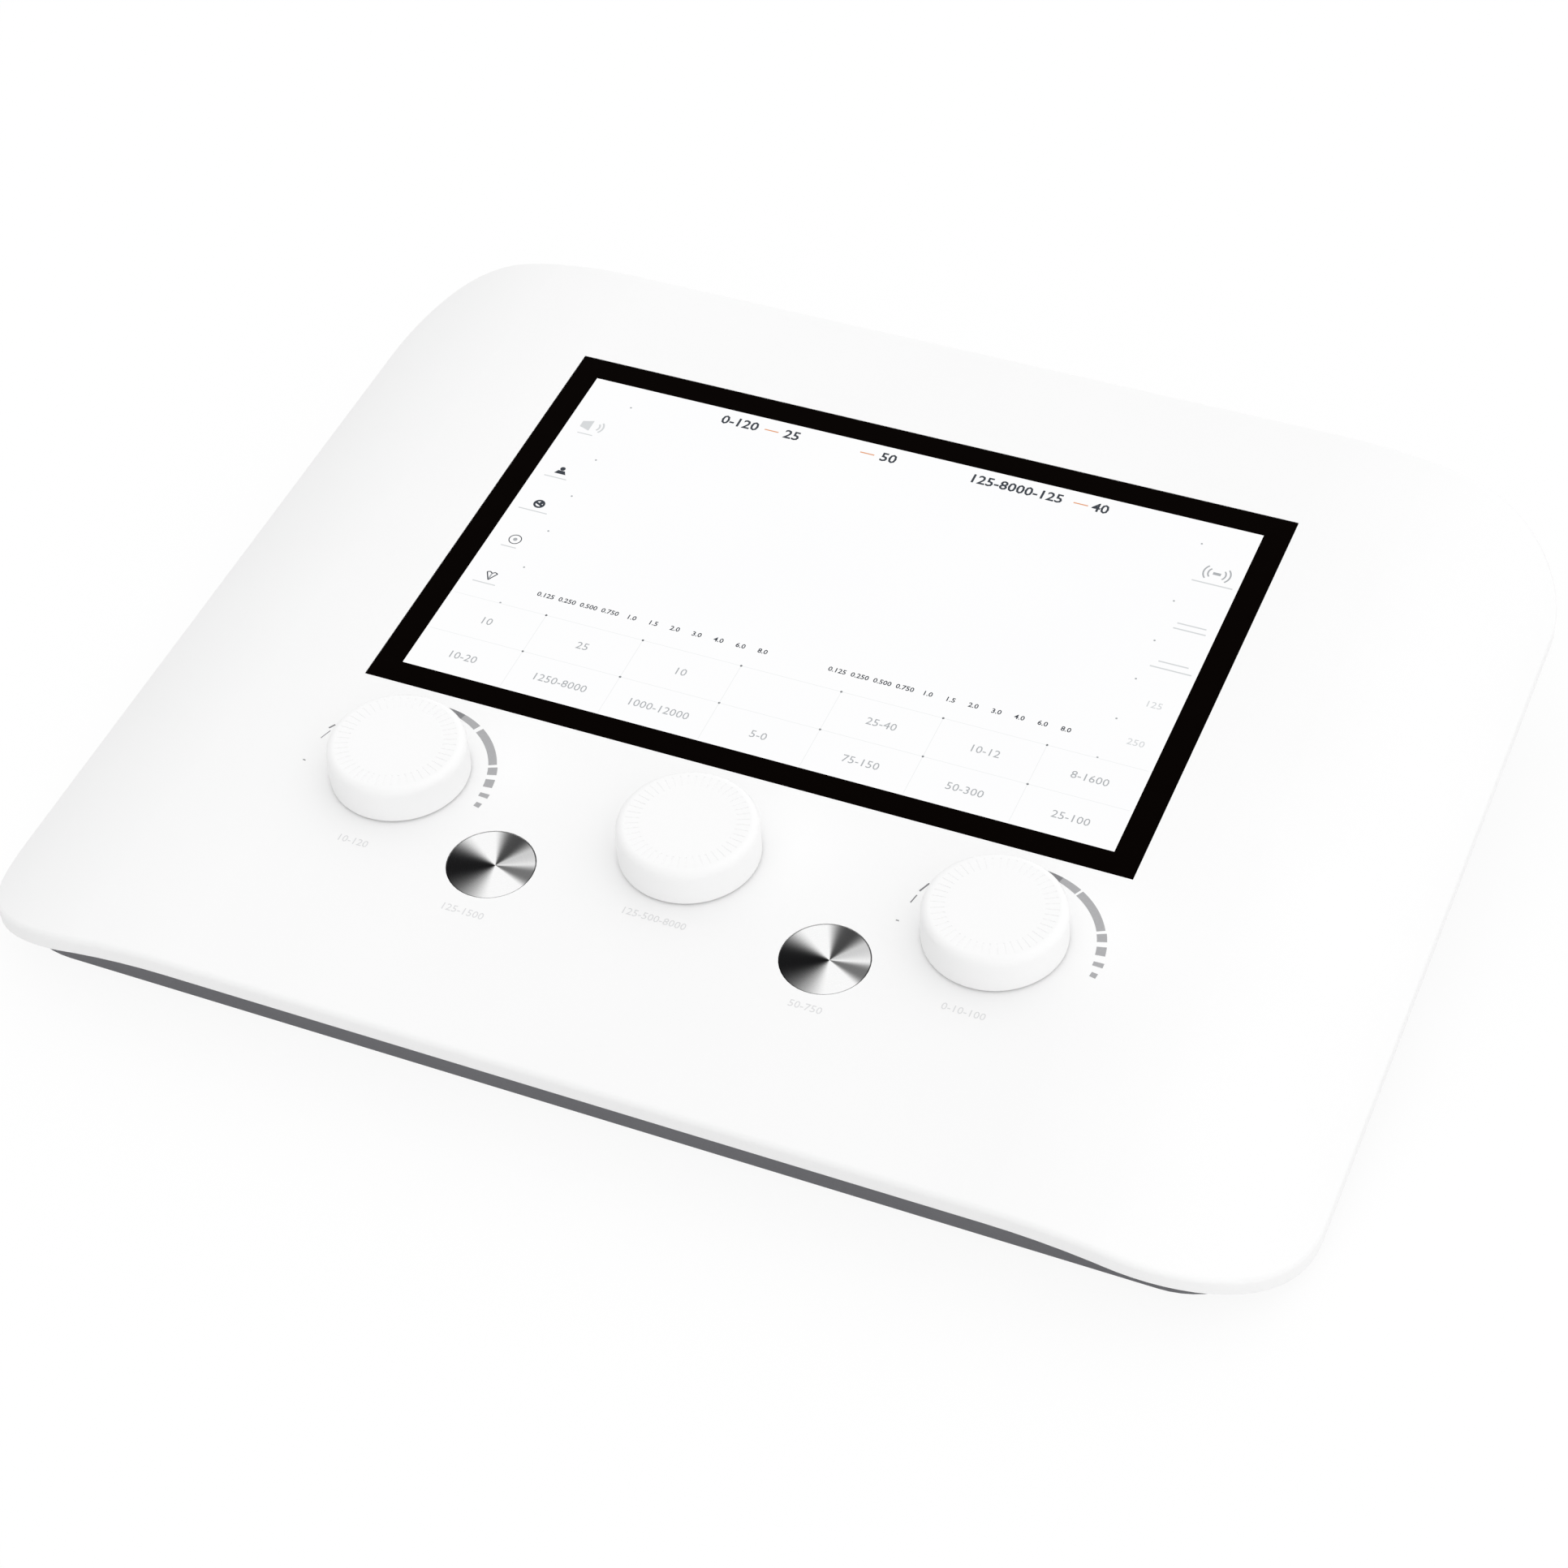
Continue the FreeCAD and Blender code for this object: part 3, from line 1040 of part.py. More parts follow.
def usb_port():
    """USB socket: metal shell with a tongue in its mouth, flush with the rear panel."""
    z = MAIN_BOARD_TOP + USB_HEIGHT / 2
    shell = port_block(USB_X, USB_WIDTH, USB_HEIGHT, 0, (BASE_BACK - USB_LENGTH, BASE_BACK))
    mouth_y = (BASE_BACK - USB_MOUTH_DEPTH, BASE_BACK + 1.0)
    tongue_y = (BASE_BACK - USB_MOUTH_DEPTH - 1.0, BASE_BACK - 1.0)
    mouth = rear_block(USB_X, z, USB_MOUTH_WIDTH, USB_MOUTH_HEIGHT, mouth_y)
    tongue = rear_block(USB_X, z, USB_TONGUE_WIDTH, USB_TONGUE_HEIGHT, tongue_y)
    return joined(shell.cut(mouth), [tongue])


def inlet_pin_blocks(extra):
    """Both pins of the power inlet as blocks, grown by `extra` all round."""
    z = MAIN_BOARD_TOP + INLET_HEIGHT / 2
    side = INLET_PIN_SIDE + 2 * extra
    y_range = (BASE_BACK - INLET_MOUTH_DEPTH - 3.0 - extra, BASE_BACK - 1.0 + extra)
    return [rear_block(INLET_X + end * INLET_PIN_PITCH / 2, z, side, side, y_range) for end in (-1, 1)]


def power_inlet():
    """Low-voltage power inlet: shrouded rectangular body, flush with the rear panel."""
    z = MAIN_BOARD_TOP + INLET_HEIGHT / 2
    body = port_block(INLET_X, INLET_WIDTH, INLET_HEIGHT, 0, (BASE_BACK - INLET_LENGTH, BASE_BACK))
    mouth_y = (BASE_BACK - INLET_MOUTH_DEPTH, BASE_BACK + 1.0)
    mouth = rear_block(INLET_X, z, INLET_MOUTH_WIDTH, INLET_MOUTH_HEIGHT, mouth_y)
    return body.cut([mouth] + inlet_pin_blocks(SLIP))


def inlet_pins():
    """Two square contacts of the power inlet."""
    return group(inlet_pin_blocks(0))


def switch_block(extra, y_range):
    """Block of the switch's body size, grown by `extra` all round."""
    half_width = SWITCH_WIDTH / 2 + extra
    half_height = SWITCH_HEIGHT / 2 + extra
    z_range = (REAR_PANEL_MIDDLE - half_height, REAR_PANEL_MIDDLE + half_height)
    return box((SWITCH_X - half_width, SWITCH_X + half_width), y_range, z_range)


def rocker_axis_y():
    """Place of the rocker's pivot along Y in the desk frame."""
    return BASE_BACK + SWITCH_FLANGE_THICKNESS + ROCKER_PROUD - ROCKER_THICKNESS


def switch_housing():
    """Power switch housing that snaps into the rear panel."""
    outer = BASE_BACK + SWITCH_FLANGE_THICKNESS
    body = switch_block(0, (BASE_BACK - SWITCH_LENGTH, outer))
    flange = switch_block(SWITCH_FLANGE, (BASE_BACK, outer))
    swing = ROCKER_THICKNESS + (SWITCH_HEIGHT / 2) * math.sin(math.radians(2 * ROCKER_ANGLE)) + PLAY
    room = switch_block(-SWITCH_WALL, (outer - swing, outer + 1.0))
    pin_half = SWITCH_WIDTH / 2 - SWITCH_WALL + ROCKER_PIN_LENGTH + SLIP
    start = Vector(SWITCH_X - pin_half, rocker_axis_y(), REAR_PANEL_MIDDLE)
    pin = Part.makeCylinder(ROCKER_PIN_RADIUS + SLIP, 2 * pin_half, start, Vector(1, 0, 0))
    return joined(body, [flange]).cut([room, pin])


def switch_rocker():
    """Rocker of the power switch, resting in its off position, with a pin at each end."""
    half_width = SWITCH_WIDTH / 2 - SWITCH_WALL - PLAY
    half_height = SWITCH_HEIGHT / 2 - SWITCH_WALL - ROCKER_END_GAP
    dip = half_height * math.tan(math.radians(ROCKER_ANGLE))
    crown = ROCKER_THICKNESS
    heel = -ROCKER_PIN_RADIUS - ROCKER_HEEL
    side = [
        (crown - dip, 0),
        (crown, half_height),
        (heel + dip, half_height),
        (heel, 0),
        (heel + dip, -half_height),
        (crown, -half_height),
        (crown - dip, 0),
    ]
    outline = Part.makePolygon([Vector(-half_width, y, z) for y, z in side])
    body = Part.Face(outline).extrude(Vector(2 * half_width, 0, 0))
    length = 2 * half_width + 2 * (PLAY + ROCKER_PIN_LENGTH)
    pin = Part.makeCylinder(ROCKER_PIN_RADIUS, length, Vector(-length / 2, 0, 0), Vector(1, 0, 0))
    piece = joined(body, [pin]).rotated(Vector(0, 0, 0), Vector(1, 0, 0), -ROCKER_ANGLE)
    return piece.translated(Vector(SWITCH_X, rocker_axis_y(), REAR_PANEL_MIDDLE))


# ---- Monitor loudspeaker ----

def speaker_basket():
    """Loudspeaker frame and magnet, face down on the base floor."""
    rim_inner = SPEAKER_RADIUS - SPEAKER_RIM
    top = SPEAKER_DEPTH
    shell = turned([
        (rim_inner, 0),
        (SPEAKER_RADIUS, 0),
        (SPEAKER_RADIUS, SPEAKER_RIM_HEIGHT),
        (SPEAKER_MAGNET + SPEAKER_WALL, top),
        (0, top),
        (0, top - SPEAKER_WALL),
        (SPEAKER_MAGNET, top - SPEAKER_WALL),
        (rim_inner, SPEAKER_RIM_HEIGHT - SPEAKER_WALL),
    ])
    magnet = upright(0, 0, SPEAKER_MAGNET, top - SPEAKER_WALL / 2, top + SPEAKER_RIM_HEIGHT)
    return joined(shell, [magnet]).translated(Vector(SPEAKER_X, SPEAKER_Y, FLOOR))


def speaker_cone():
    """Paper cone inside the basket."""
    rim = SPEAKER_RADIUS - SPEAKER_RIM - SEAT
    low = SPEAKER_WALL
    apex = SPEAKER_DEPTH - 2 * SPEAKER_WALL - SEAT
    cone = turned([
        (0, apex - SPEAKER_CONE_WALL),
        (SPEAKER_MAGNET / 2, apex - SPEAKER_CONE_WALL),
        (rim, low),
        (rim, low + SPEAKER_CONE_WALL),
        (SPEAKER_MAGNET / 2, apex),
        (0, apex),
    ])
    return cone.translated(Vector(SPEAKER_X, SPEAKER_Y, FLOOR))


# ---- Assembly ----

def panel_pieces():
    """Pieces built in the panel frame, by node name."""
    pieces = {
        "top_cover": top_cover(),
        "display_glass": display_glass(),
        "display_gasket": display_gasket(),
        "lcd_module": lcd_module(),
        "display_bracket": display_bracket(),
        "bracket_screws": bracket_screws(),
        "encoder_washers": encoder_washers(),
        "encoder_nuts": encoder_nuts(),
        "control_board": control_board(),
        "control_board_screws": control_board_screws(),
    }
    for side, (x, y) in KNOB_SPOTS.items():
        pieces[side + "_encoder"] = encoder(x, y)
        pieces[side + "_shaft"] = encoder_shaft(x, y)
        pieces[side + "_knob"] = knob(x, y)
    for side, (x, y) in KEY_SPOTS.items():
        pieces[side + "_key_cap"] = key_cap(x, y)
        pieces[side + "_key_plunger"] = key_plunger(x, y)
        pieces[side + "_key_pad"] = key_pad(x, y)
        pieces[side + "_key_spring"] = key_spring(x, y)
    return pieces


def desk_pieces():
    """Pieces built in the desk frame, by node name."""
    pieces = {
        "base_tub": base_tub(),
        "housing_screws": housing_screws(),
        "main_board": main_board(),
        "main_board_screws": main_board_screws(),
        "processor_shield": processor_shield(),
        "capacitors": capacitors(),
        "control_ribbon": control_ribbon(),
        "display_ribbon": display_ribbon(),
        "ribbon_connectors": ribbon_connectors(),
        "rear_panel": rear_panel(),
        "rear_panel_screws": rear_panel_screws(),
        "jack_nuts": jack_nuts(),
        "usb_port": usb_port(),
        "power_inlet": power_inlet(),
        "inlet_pins": inlet_pins(),
        "switch_housing": switch_housing(),
        "switch_rocker": switch_rocker(),
        "speaker_basket": speaker_basket(),
        "speaker_cone": speaker_cone(),
    }
    for name, x in JACK_SPOTS.items():
        pieces[name] = jack(x)
    for name, (x, y) in foot_spots().items():
        pieces[name] = foot(x, y)
    return pieces


def footprint_middle(pieces):
    """Middle of the assembled device along Y in the desk frame."""
    bounds = [shape.optimalBoundingBox(False) for shape in pieces.values()]
    return (min(b.YMin for b in bounds) + max(b.YMax for b in bounds)) / 2


def assembly():
    """Every piece in its own frame: origin in the middle of the footprint, on the desk."""
    pieces = {name: panel_to_desk(shape) for name, shape in panel_pieces().items()}
    pieces.update(desk_pieces())
    shift = Vector(0, -footprint_middle(pieces), FRONT_EDGE_HEIGHT)
    return {name: shape.translated(shift) for name, shape in pieces.items()}


def main():
    """Write one STEP file per piece."""
    os.makedirs("parts", exist_ok=True)
    for name, shape in assembly().items():
        shape.exportStep("parts/" + name + ".step")


main()
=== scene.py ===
"""Looks of a desktop audiometer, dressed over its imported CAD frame.

Lengths in the classes are millimetres unless a name says otherwise; Blender's own are metres.
"""

import itertools
import json
import logging
import math
from collections.abc import Callable, Iterable, Mapping, Sequence
from dataclasses import dataclass, field
from enum import Enum

import bmesh
import bpy
from mathutils import Matrix, Vector

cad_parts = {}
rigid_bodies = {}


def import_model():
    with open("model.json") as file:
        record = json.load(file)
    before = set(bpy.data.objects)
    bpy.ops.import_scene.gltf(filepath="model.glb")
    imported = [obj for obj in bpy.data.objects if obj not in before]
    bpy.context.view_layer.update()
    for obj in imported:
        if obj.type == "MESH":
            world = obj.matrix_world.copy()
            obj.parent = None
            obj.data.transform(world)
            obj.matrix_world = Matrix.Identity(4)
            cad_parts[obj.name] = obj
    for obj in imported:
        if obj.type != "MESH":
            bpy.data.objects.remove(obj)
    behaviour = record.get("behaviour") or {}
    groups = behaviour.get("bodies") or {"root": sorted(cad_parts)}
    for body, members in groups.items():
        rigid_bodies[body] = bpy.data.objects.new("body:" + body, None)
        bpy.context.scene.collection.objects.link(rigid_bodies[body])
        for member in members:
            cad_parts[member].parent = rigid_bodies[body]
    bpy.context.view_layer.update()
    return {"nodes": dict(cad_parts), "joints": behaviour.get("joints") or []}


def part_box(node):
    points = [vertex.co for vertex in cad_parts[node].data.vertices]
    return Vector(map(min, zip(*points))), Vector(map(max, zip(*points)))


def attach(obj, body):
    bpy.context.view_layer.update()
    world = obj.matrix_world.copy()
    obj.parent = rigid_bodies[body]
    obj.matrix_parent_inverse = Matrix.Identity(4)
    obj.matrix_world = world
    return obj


log = logging.getLogger("audiometer")

MM = 0.001
Pair = tuple[float, float]  # a point of a face, or two numbers that belong together
Triple = tuple[float, float, float]
Label = tuple[str, Pair]
Tree = bpy.types.NodeTree
Socket = bpy.types.NodeSocket
Value = float | Sequence[float] | Socket


# ---- Colour and node helpers ----


def linear(code: str) -> tuple[float, float, float, float]:
    """Turn an sRGB hex colour into linear light.

    Args:
        code: colour written as #RRGGBB.

    Returns:
        Linear red, green, blue and an alpha of 1.
    """
    parts = [int(code[k : k + 2], 16) / 255 for k in (1, 3, 5)]
    light = [p / 12.92 if p <= 0.04045 else ((p + 0.055) / 1.055) ** 2.4 for p in parts]
    return (light[0], light[1], light[2], 1.0)


def per_metre(size_mm: float) -> float:
    """Texture scale at which one pattern cell is size_mm wide."""
    return 1.0 / (size_mm * MM)


def add_node(
    tree: Tree,
    kind: str,
    settings: Mapping[str, object] | None = None,
    inputs: Mapping[str | int, Value] | None = None,
) -> bpy.types.NodeOutputs:
    """Add one shader node with its settings and its inputs.

    Args:
        tree: node tree that takes the node.
        kind: Blender's name of the node's type, after ShaderNode.
        settings: properties of the node, by name.
        inputs: for each input's name or number, a value or the socket that feeds it.

    Returns:
        The new node's outputs.
    """
    node = tree.nodes.new(f"ShaderNode{kind}")
    for name, value in (settings or {}).items():
        setattr(node, name, value)
    for key, value in (inputs or {}).items():
        if isinstance(value, Socket):
            tree.links.new(value, node.inputs[key])
        else:
            node.inputs[key].default_value = value
    return node.outputs


# ---- Finishes ----


@dataclass(frozen=True)
class Finish:
    """A material that is made once and then shared.

    Args:
        name: real material and how its surface was made.
    """

    name: str

    def material(self) -> bpy.types.Material:
        """Return the material, building it on first use.

        Returns:
            The Blender material of this finish.
        """
        found = bpy.data.materials.get(self.name)
        if found is not None:
            return found
        made = bpy.data.materials.new(self.name)
        made.use_nodes = True
        made.node_tree.nodes.clear()
        shader = self.surface(made.node_tree)
        add_node(made.node_tree, "OutputMaterial", inputs={"Surface": shader})
        return made

    def surface(self, tree: Tree) -> Socket:
        """Build the shader; each kind of finish has its own."""
        raise NotImplementedError


GRAIN_DETAIL = 3.0  # octaves of finer noise in a mould's grain
UNLIT_CRYSTAL = "#050505"  # colour of the display's layers without their backlight


@dataclass(frozen=True)
class Patterned(Finish):
    """Surface whose colour and gloss follow one noise, and whose relief follows it or a finer one.

    Args:
        low_color: colour where the noise is low.
        high_color: colour where it is high.
        roughness: mean roughness.
        size_mm: size of the noise along X, Y and Z.
        depth_mm: depth of the relief, 0 for none.
        metallic: 1 for bare metal, less under a thin coat, 0 for all else.
        gloss_swing: what the roughness gains where the noise is high and loses where it is low.
        detail: octaves of finer noise in it.
        grain_mm: width of a finer grain for the relief, 0 for none.
        ior: index of refraction, which bare metal doesn't use.
        specular: specular level, 0.5 for a clean surface.
        specks: whether the colour follows separate specks of the noise's size.
        glow: strength of the light that it gives off.
    """

    low_color: str
    high_color: str
    roughness: float
    size_mm: Triple = (0.6, 0.6, 0.6)
    depth_mm: float = 0.0
    metallic: float = 0.0
    gloss_swing: float = 0.0
    detail: float = 2.0
    grain_mm: float = 0.0
    ior: float = 1.5
    specular: float = 0.5
    specks: bool = False
    glow: float = 0.0

    def surface(self, tree: Tree) -> Socket:
        """Build the noise, and the colour, gloss and relief that follow it.

        Args:
            tree: node tree of the material.

        Returns:
            The shader's output.
        """
        spot = add_node(tree, "TexCoord")["Object"]
        scale = tuple(per_metre(size) for size in self.size_mm)
        stretched = add_node(tree, "Mapping", inputs={"Vector": spot, "Scale": scale})[0]
        cells = {"Vector": stretched, "Scale": 1.0}
        noise = add_node(tree, "TexNoise", inputs=cells | {"Detail": self.detail})[0]
        shares = noise
        if self.specks:
            shares = add_node(tree, "TexVoronoi", inputs=cells)["Distance"]
        tones = {0: shares, 6: linear(self.low_color), 7: linear(self.high_color)}
        color = add_node(tree, "Mix", {"data_type": "RGBA"}, tones)[2]
        inputs: dict[str, Value] = {
            "Base Color": color,
            "Roughness": self.roughness,
            "IOR": self.ior,
            "Metallic": self.metallic,
            "Specular IOR Level": self.specular,
        }
        if self.gloss_swing:
            low, high = self.roughness - self.gloss_swing, self.roughness + self.gloss_swing
            dull = {"Value": noise, "To Min": low, "To Max": high}
            inputs["Roughness"] = add_node(tree, "MapRange", inputs=dull)[0]
        if self.depth_mm:
            relief = noise
            if self.grain_mm:
                fine = {"Vector": spot, "Scale": per_metre(self.grain_mm), "Detail": GRAIN_DETAIL}
                relief = add_node(tree, "TexNoise", inputs=fine)[0]
            bumps = {"Height": relief, "Distance": self.depth_mm * MM}
            inputs["Normal"] = add_node(tree, "Bump", inputs=bumps)[0]
        if self.glow:
            dark = linear(UNLIT_CRYSTAL)
            inputs |= {"Base Color": dark, "Emission Color": color, "Emission Strength": self.glow}
        return add_node(tree, "BsdfPrincipled", inputs=inputs)[0]


@dataclass(frozen=True)
class Moulded(Patterned):
    """Plastic or rubber from a mould, whose wall leaves a fine grain over broad faint patches."""

    size_mm: Triple = (45.0, 45.0, 45.0)
    depth_mm: float = 0.01
    gloss_swing: float = 0.05
    grain_mm: float = 0.8
    ior: float = 1.54


@dataclass(frozen=True)
class Lined(Patterned):
    """Material whose working left lines: drawn, rolled or turned metal, pressed paper, flat cable."""

    depth_mm: float = 0.004
    metallic: float = 1.0
    gloss_swing: float = -0.1
    detail: float = 3.0


@dataclass(frozen=True)
class CoatedPlate(Patterned):
    """Sheet metal under baked powder, with its orange-peel skin and lighter specks."""

    depth_mm: float = 0.02
    gloss_swing: float = 0.1
    specks: bool = True


@dataclass(frozen=True)
class PadPrint(Patterned):
    """Ink pressed on by a pad, a little thinner in places.

    Its pinholes are really 0.05 mm wide; the 0.6 mm of the base is as fine as can show.
    """

    roughness: float = 0.5


@dataclass(frozen=True)
class LitPicture(Patterned):
    """Part of a lit liquid-crystal picture under coated glass, over a backlight's 50 mm patches."""

    roughness: float = 0.08
    size_mm: Triple = (50.0, 50.0, 50.0)
    detail: float = 1.0
    ior: float = 1.52
    specular: float = 0.02
    glow: float = 1.0


@dataclass(frozen=True)
class DarkFan:
    """Painted dark reflection, fanning out from the middle of a spun disc in its base colour.

    Args:
        angle: its middle, in degrees round the disc from the right.
        half_width: where it has faded out, in degrees.
        depth: how dark its middle is, 0 to 1.
    """

    angle: float
    half_width: float
    depth: float


@dataclass(frozen=True)
class SpunMetal(Finish):
    """Aluminium faced on a lathe: real spin lines stretch its highlight, and bright and dark fans of
    reflection are painted into its base colour round the middle.

    Args:
        color: painted reflection colour of the bright fans.
        dark_color: painted reflection colour of the dark fans.
        centre: middle of the disc, in metres.
        tilt: the disc's slope about X, in radians.
        fans: the painted dark reflections.
        roughness: mean roughness across the lines.
        gloss_swing: how far the roughness swings from line to line.
        spin_mm: distance between spin lines; they are really 0.1 mm apart, too fine to show.
        depth_mm: depth of the lines.
        stretch: how far the lines stretch a highlight.
    """

    color: str
    dark_color: str
    centre: Triple
    tilt: float
    fans: tuple[DarkFan, ...]
    roughness: float = 0.3
    gloss_swing: float = 0.1
    spin_mm: float = 0.35
    depth_mm: float = 0.004
    stretch: float = 0.8

    def surface(self, tree: Tree) -> Socket:
        """Build the painted reflection fans, the spin lines and the stretched highlight.

        Args:
            tree: node tree of the material.

        Returns:
            The shader's output.
        """
        spot = add_node(tree, "TexCoord")["Object"]
        turn = (self.tilt, 0.0, 0.0)
        level = {"Vector": spot, "Location": self.centre, "Rotation": turn}
        local = add_node(tree, "Mapping", {"vector_type": "TEXTURE"}, level)[0]
        squeeze = {0: local, 1: (1.0, 1.0, 0.0)}
        flat = add_node(tree, "VectorMath", {"operation": "MULTIPLY"}, squeeze)[0]
        outward = add_node(tree, "VectorMath", {"operation": "NORMALIZE"}, {0: flat})[0]
        radius = add_node(tree, "VectorMath", {"operation": "LENGTH"}, {0: flat})["Value"]
        circles = {"W": radius, "Scale": per_metre(self.spin_mm)}
        lines = add_node(tree, "TexNoise", {"noise_dimensions": "1D"}, circles)[0]
        sideways = {0: (0.0, 0.0, 1.0), 1: outward}
        around = add_node(tree, "VectorMath", {"operation": "CROSS_PRODUCT"}, sideways)[0]
        raised = {"Vector": around, "Rotation": turn}
        # The base colour carries a painted reflection: bright, with dark fans set by angle round the
        # middle.
        tones = {0: self.fan_light(tree, outward), 6: linear(self.dark_color), 7: linear(self.color)}
        low, high = self.roughness - self.gloss_swing, self.roughness + self.gloss_swing
        dull = {"Value": lines, "To Min": low, "To Max": high}
        bumps = {"Height": lines, "Distance": self.depth_mm * MM}
        inputs = {
            "Base Color": add_node(tree, "Mix", {"data_type": "RGBA"}, tones)[2],
            "Roughness": add_node(tree, "MapRange", inputs=dull)[0],
            "Normal": add_node(tree, "Bump", inputs=bumps)[0],
            "Tangent": add_node(tree, "Mapping", {"vector_type": "VECTOR"}, raised)[0],
            "Anisotropic": self.stretch,
            "Metallic": 1.0,
        }
        return add_node(tree, "BsdfPrincipled", inputs=inputs)[0]

    def fan_light(self, tree: Tree, outward: Socket) -> Value:
        """Paint the reflection: dim full brightness by each painted dark fan in turn.

        Args:
            tree: node tree of the material.
            outward: unit vector from the disc's middle.

        Returns:
            Brightness of the painted reflection, from 0 to 1.
        """
        light: Value = 1.0
        for fan in self.fans:
            angle = math.radians(fan.angle)
            pair = {0: outward, 1: (math.cos(angle), math.sin(angle), 0.0)}
            near = add_node(tree, "VectorMath", {"operation": "DOT_PRODUCT"}, pair)["Value"]
            edge = math.cos(math.radians(fan.half_width))
            fade = {"Value": near, "From Min": edge, "To Min": 1.0, "To Max": 1.0 - fan.depth}
            dim = add_node(tree, "MapRange", {"interpolation_type": "SMOOTHSTEP"}, fade)[0]
            light = add_node(tree, "Math", {"operation": "MULTIPLY"}, {0: light, 1: dim})[0]
        return light


@dataclass(frozen=True)
class Laminate(Finish):
    """Solder resist over copper tracks on glass-fibre laminate.

    Args:
        color: resist over bare laminate.
        track_color: resist over copper.
        track_mm: distance between tracks.
        track_share: width of a track, as a share of that distance.
        track_run: length of a track, in such distances.
        copper_mm: thickness of the copper.
        roughness: roughness of the resist.
        ior: its index of refraction.
    """

    color: str
    track_color: str
    track_mm: float
    track_share: float = 0.12
    track_run: float = 9.0
    copper_mm: float = 0.035
    roughness: float = 0.32
    ior: float = 1.5

    def surface(self, tree: Tree) -> Socket:
        """Build straight tracks that show through the resist.

        Args:
            tree: node tree of the material.

        Returns:
            The shader's output.
        """
        spot = add_node(tree, "TexCoord")["Object"]
        resist = linear(self.color)
        courses = {"Vector": spot, "Scale": per_metre(self.track_mm), "Mortar Size": self.track_share}
        courses |= {"Brick Width": self.track_run, "Row Height": 1.0}
        courses |= {"Color1": resist, "Color2": resist, "Mortar": linear(self.track_color)}
        tracks = add_node(tree, "TexBrick", inputs=courses)
        bumps = {"Height": tracks["Fac"], "Distance": self.copper_mm * MM}
        inputs = {
            "Base Color": tracks["Color"],
            "Roughness": self.roughness,
            "Normal": add_node(tree, "Bump", inputs=bumps)[0],
            "IOR": self.ior,
        }
        return add_node(tree, "BsdfPrincipled", inputs=inputs)[0]


# White ABS with a satin spark-eroded grain: almost no mirror highlight. The real grain is about
# 0.05 mm, too fine to show, so it is drawn 0.8 mm wide.
WHITE_ABS = Moulded("moulded_white_abs", "#FAFAFA", "#F8F8F8", 0.45)
# The dials are the same ABS from a polished mould, so they take a slightly tighter sheen.
DIAL_ABS = Moulded("polished_mould_white_abs", "#FBFBFB", "#F9F9F9", 0.36, depth_mm=0.005, grain_mm=1.2)
# Grey ABS with a coarse mould grain: dull, with a faint sparkle at low angles.
GREY_ABS = Moulded("grained_grey_abs", "#6E6E72", "#68686C", 0.55, depth_mm=0.03, grain_mm=0.7)
# Nylon shells of sockets: near black with a soft sheen along their edges.
BLACK_NYLON = Moulded("moulded_black_nylon", "#17181A", "#1C1D1F", 0.38, grain_mm=0.5, ior=1.53)
# The switch comes from a polished mould, so its rocker shows the lamps.
GLOSS_NYLON = Moulded(
    "polished_mould_black_nylon", "#101113", "#141517", 0.2, depth_mm=0.004, grain_mm=1.0, ior=1.53
)
# Unfilled nylon of ribbon connectors: warm and slightly waxy.
CREAM_NYLON = Moulded("moulded_cream_nylon", "#E3DAC0", "#DCD2B6", 0.4, grain_mm=0.5, ior=1.53)
# Cured rubber: matt, with a dusty bloom in patches.
FOOT_RUBBER = Moulded(
    "cured_black_rubber", "#1E1E1F", "#262627", 0.8, (12.0,) * 3, 0.04, grain_mm=0.6, ior=1.52, specular=0.3
)
# Silicone: soft grey with a skin-like sheen.
PAD_SILICONE = Moulded("moulded_grey_silicone", "#9A9A9C", "#8E8E90", 0.6, grain_mm=0.6, ior=1.41)
# Foam tape: dead matt and pitted.
FOAM = Moulded(
    "cut_black_foam_tape", "#151515", "#1B1B1B", 0.9, (8.0,) * 3, 0.08, grain_mm=0.5, ior=1.45, specular=0.2
)
# Black ink behind coated glass: the coat keeps reflections so low that it reads as pure black. The
# marks that wiping leaves on it are some 40 mm long and 6 mm wide.
BLACK_GLASS = Patterned(
    "ink_backed_cover_glass", "#050201", "#060302", 0.08, (40.0, 6.0, 6.0),
    gloss_swing=0.03, ior=1.52, specular=0.006,
)
# The picture's colours as the lit crystals give them.
LIT_WHITE = LitPicture("lit_crystal_white", "#FCFCFD", "#FEFEFE")
LIT_DARK = LitPicture("lit_crystal_dark", "#444950", "#3B4048")
LIT_GREY = LitPicture("lit_crystal_grey", "#B5B8BB", "#ABAEB1")
LIT_FAINT = LitPicture("lit_crystal_faint", "#DADCDD", "#D2D5D7")
LIT_RULE = LitPicture("lit_crystal_rule", "#EEF0F0", "#E9EBEC")
LIT_ORANGE = LitPicture("lit_crystal_orange", "#E7A57B", "#E39A6B")
# The module's own face is the bare backlight.
LCD_BACKLIGHT = LitPicture("lit_backlight_film", "#E8EEF2", "#F2F6F8")
# Dry ink lies flat and matt on the plastic.
GREY_INK = PadPrint("pad_printed_grey_ink", "#AFAFB1", "#A3A3A5")
DARK_INK = PadPrint("pad_printed_dark_ink", "#858588", "#77777A")
PALE_INK = PadPrint("pad_printed_pale_ink", "#E2E2E3", "#DADADB")
WHITE_INK = PadPrint("screen_printed_white_ink", "#D6D6D4", "#E4E4E2")
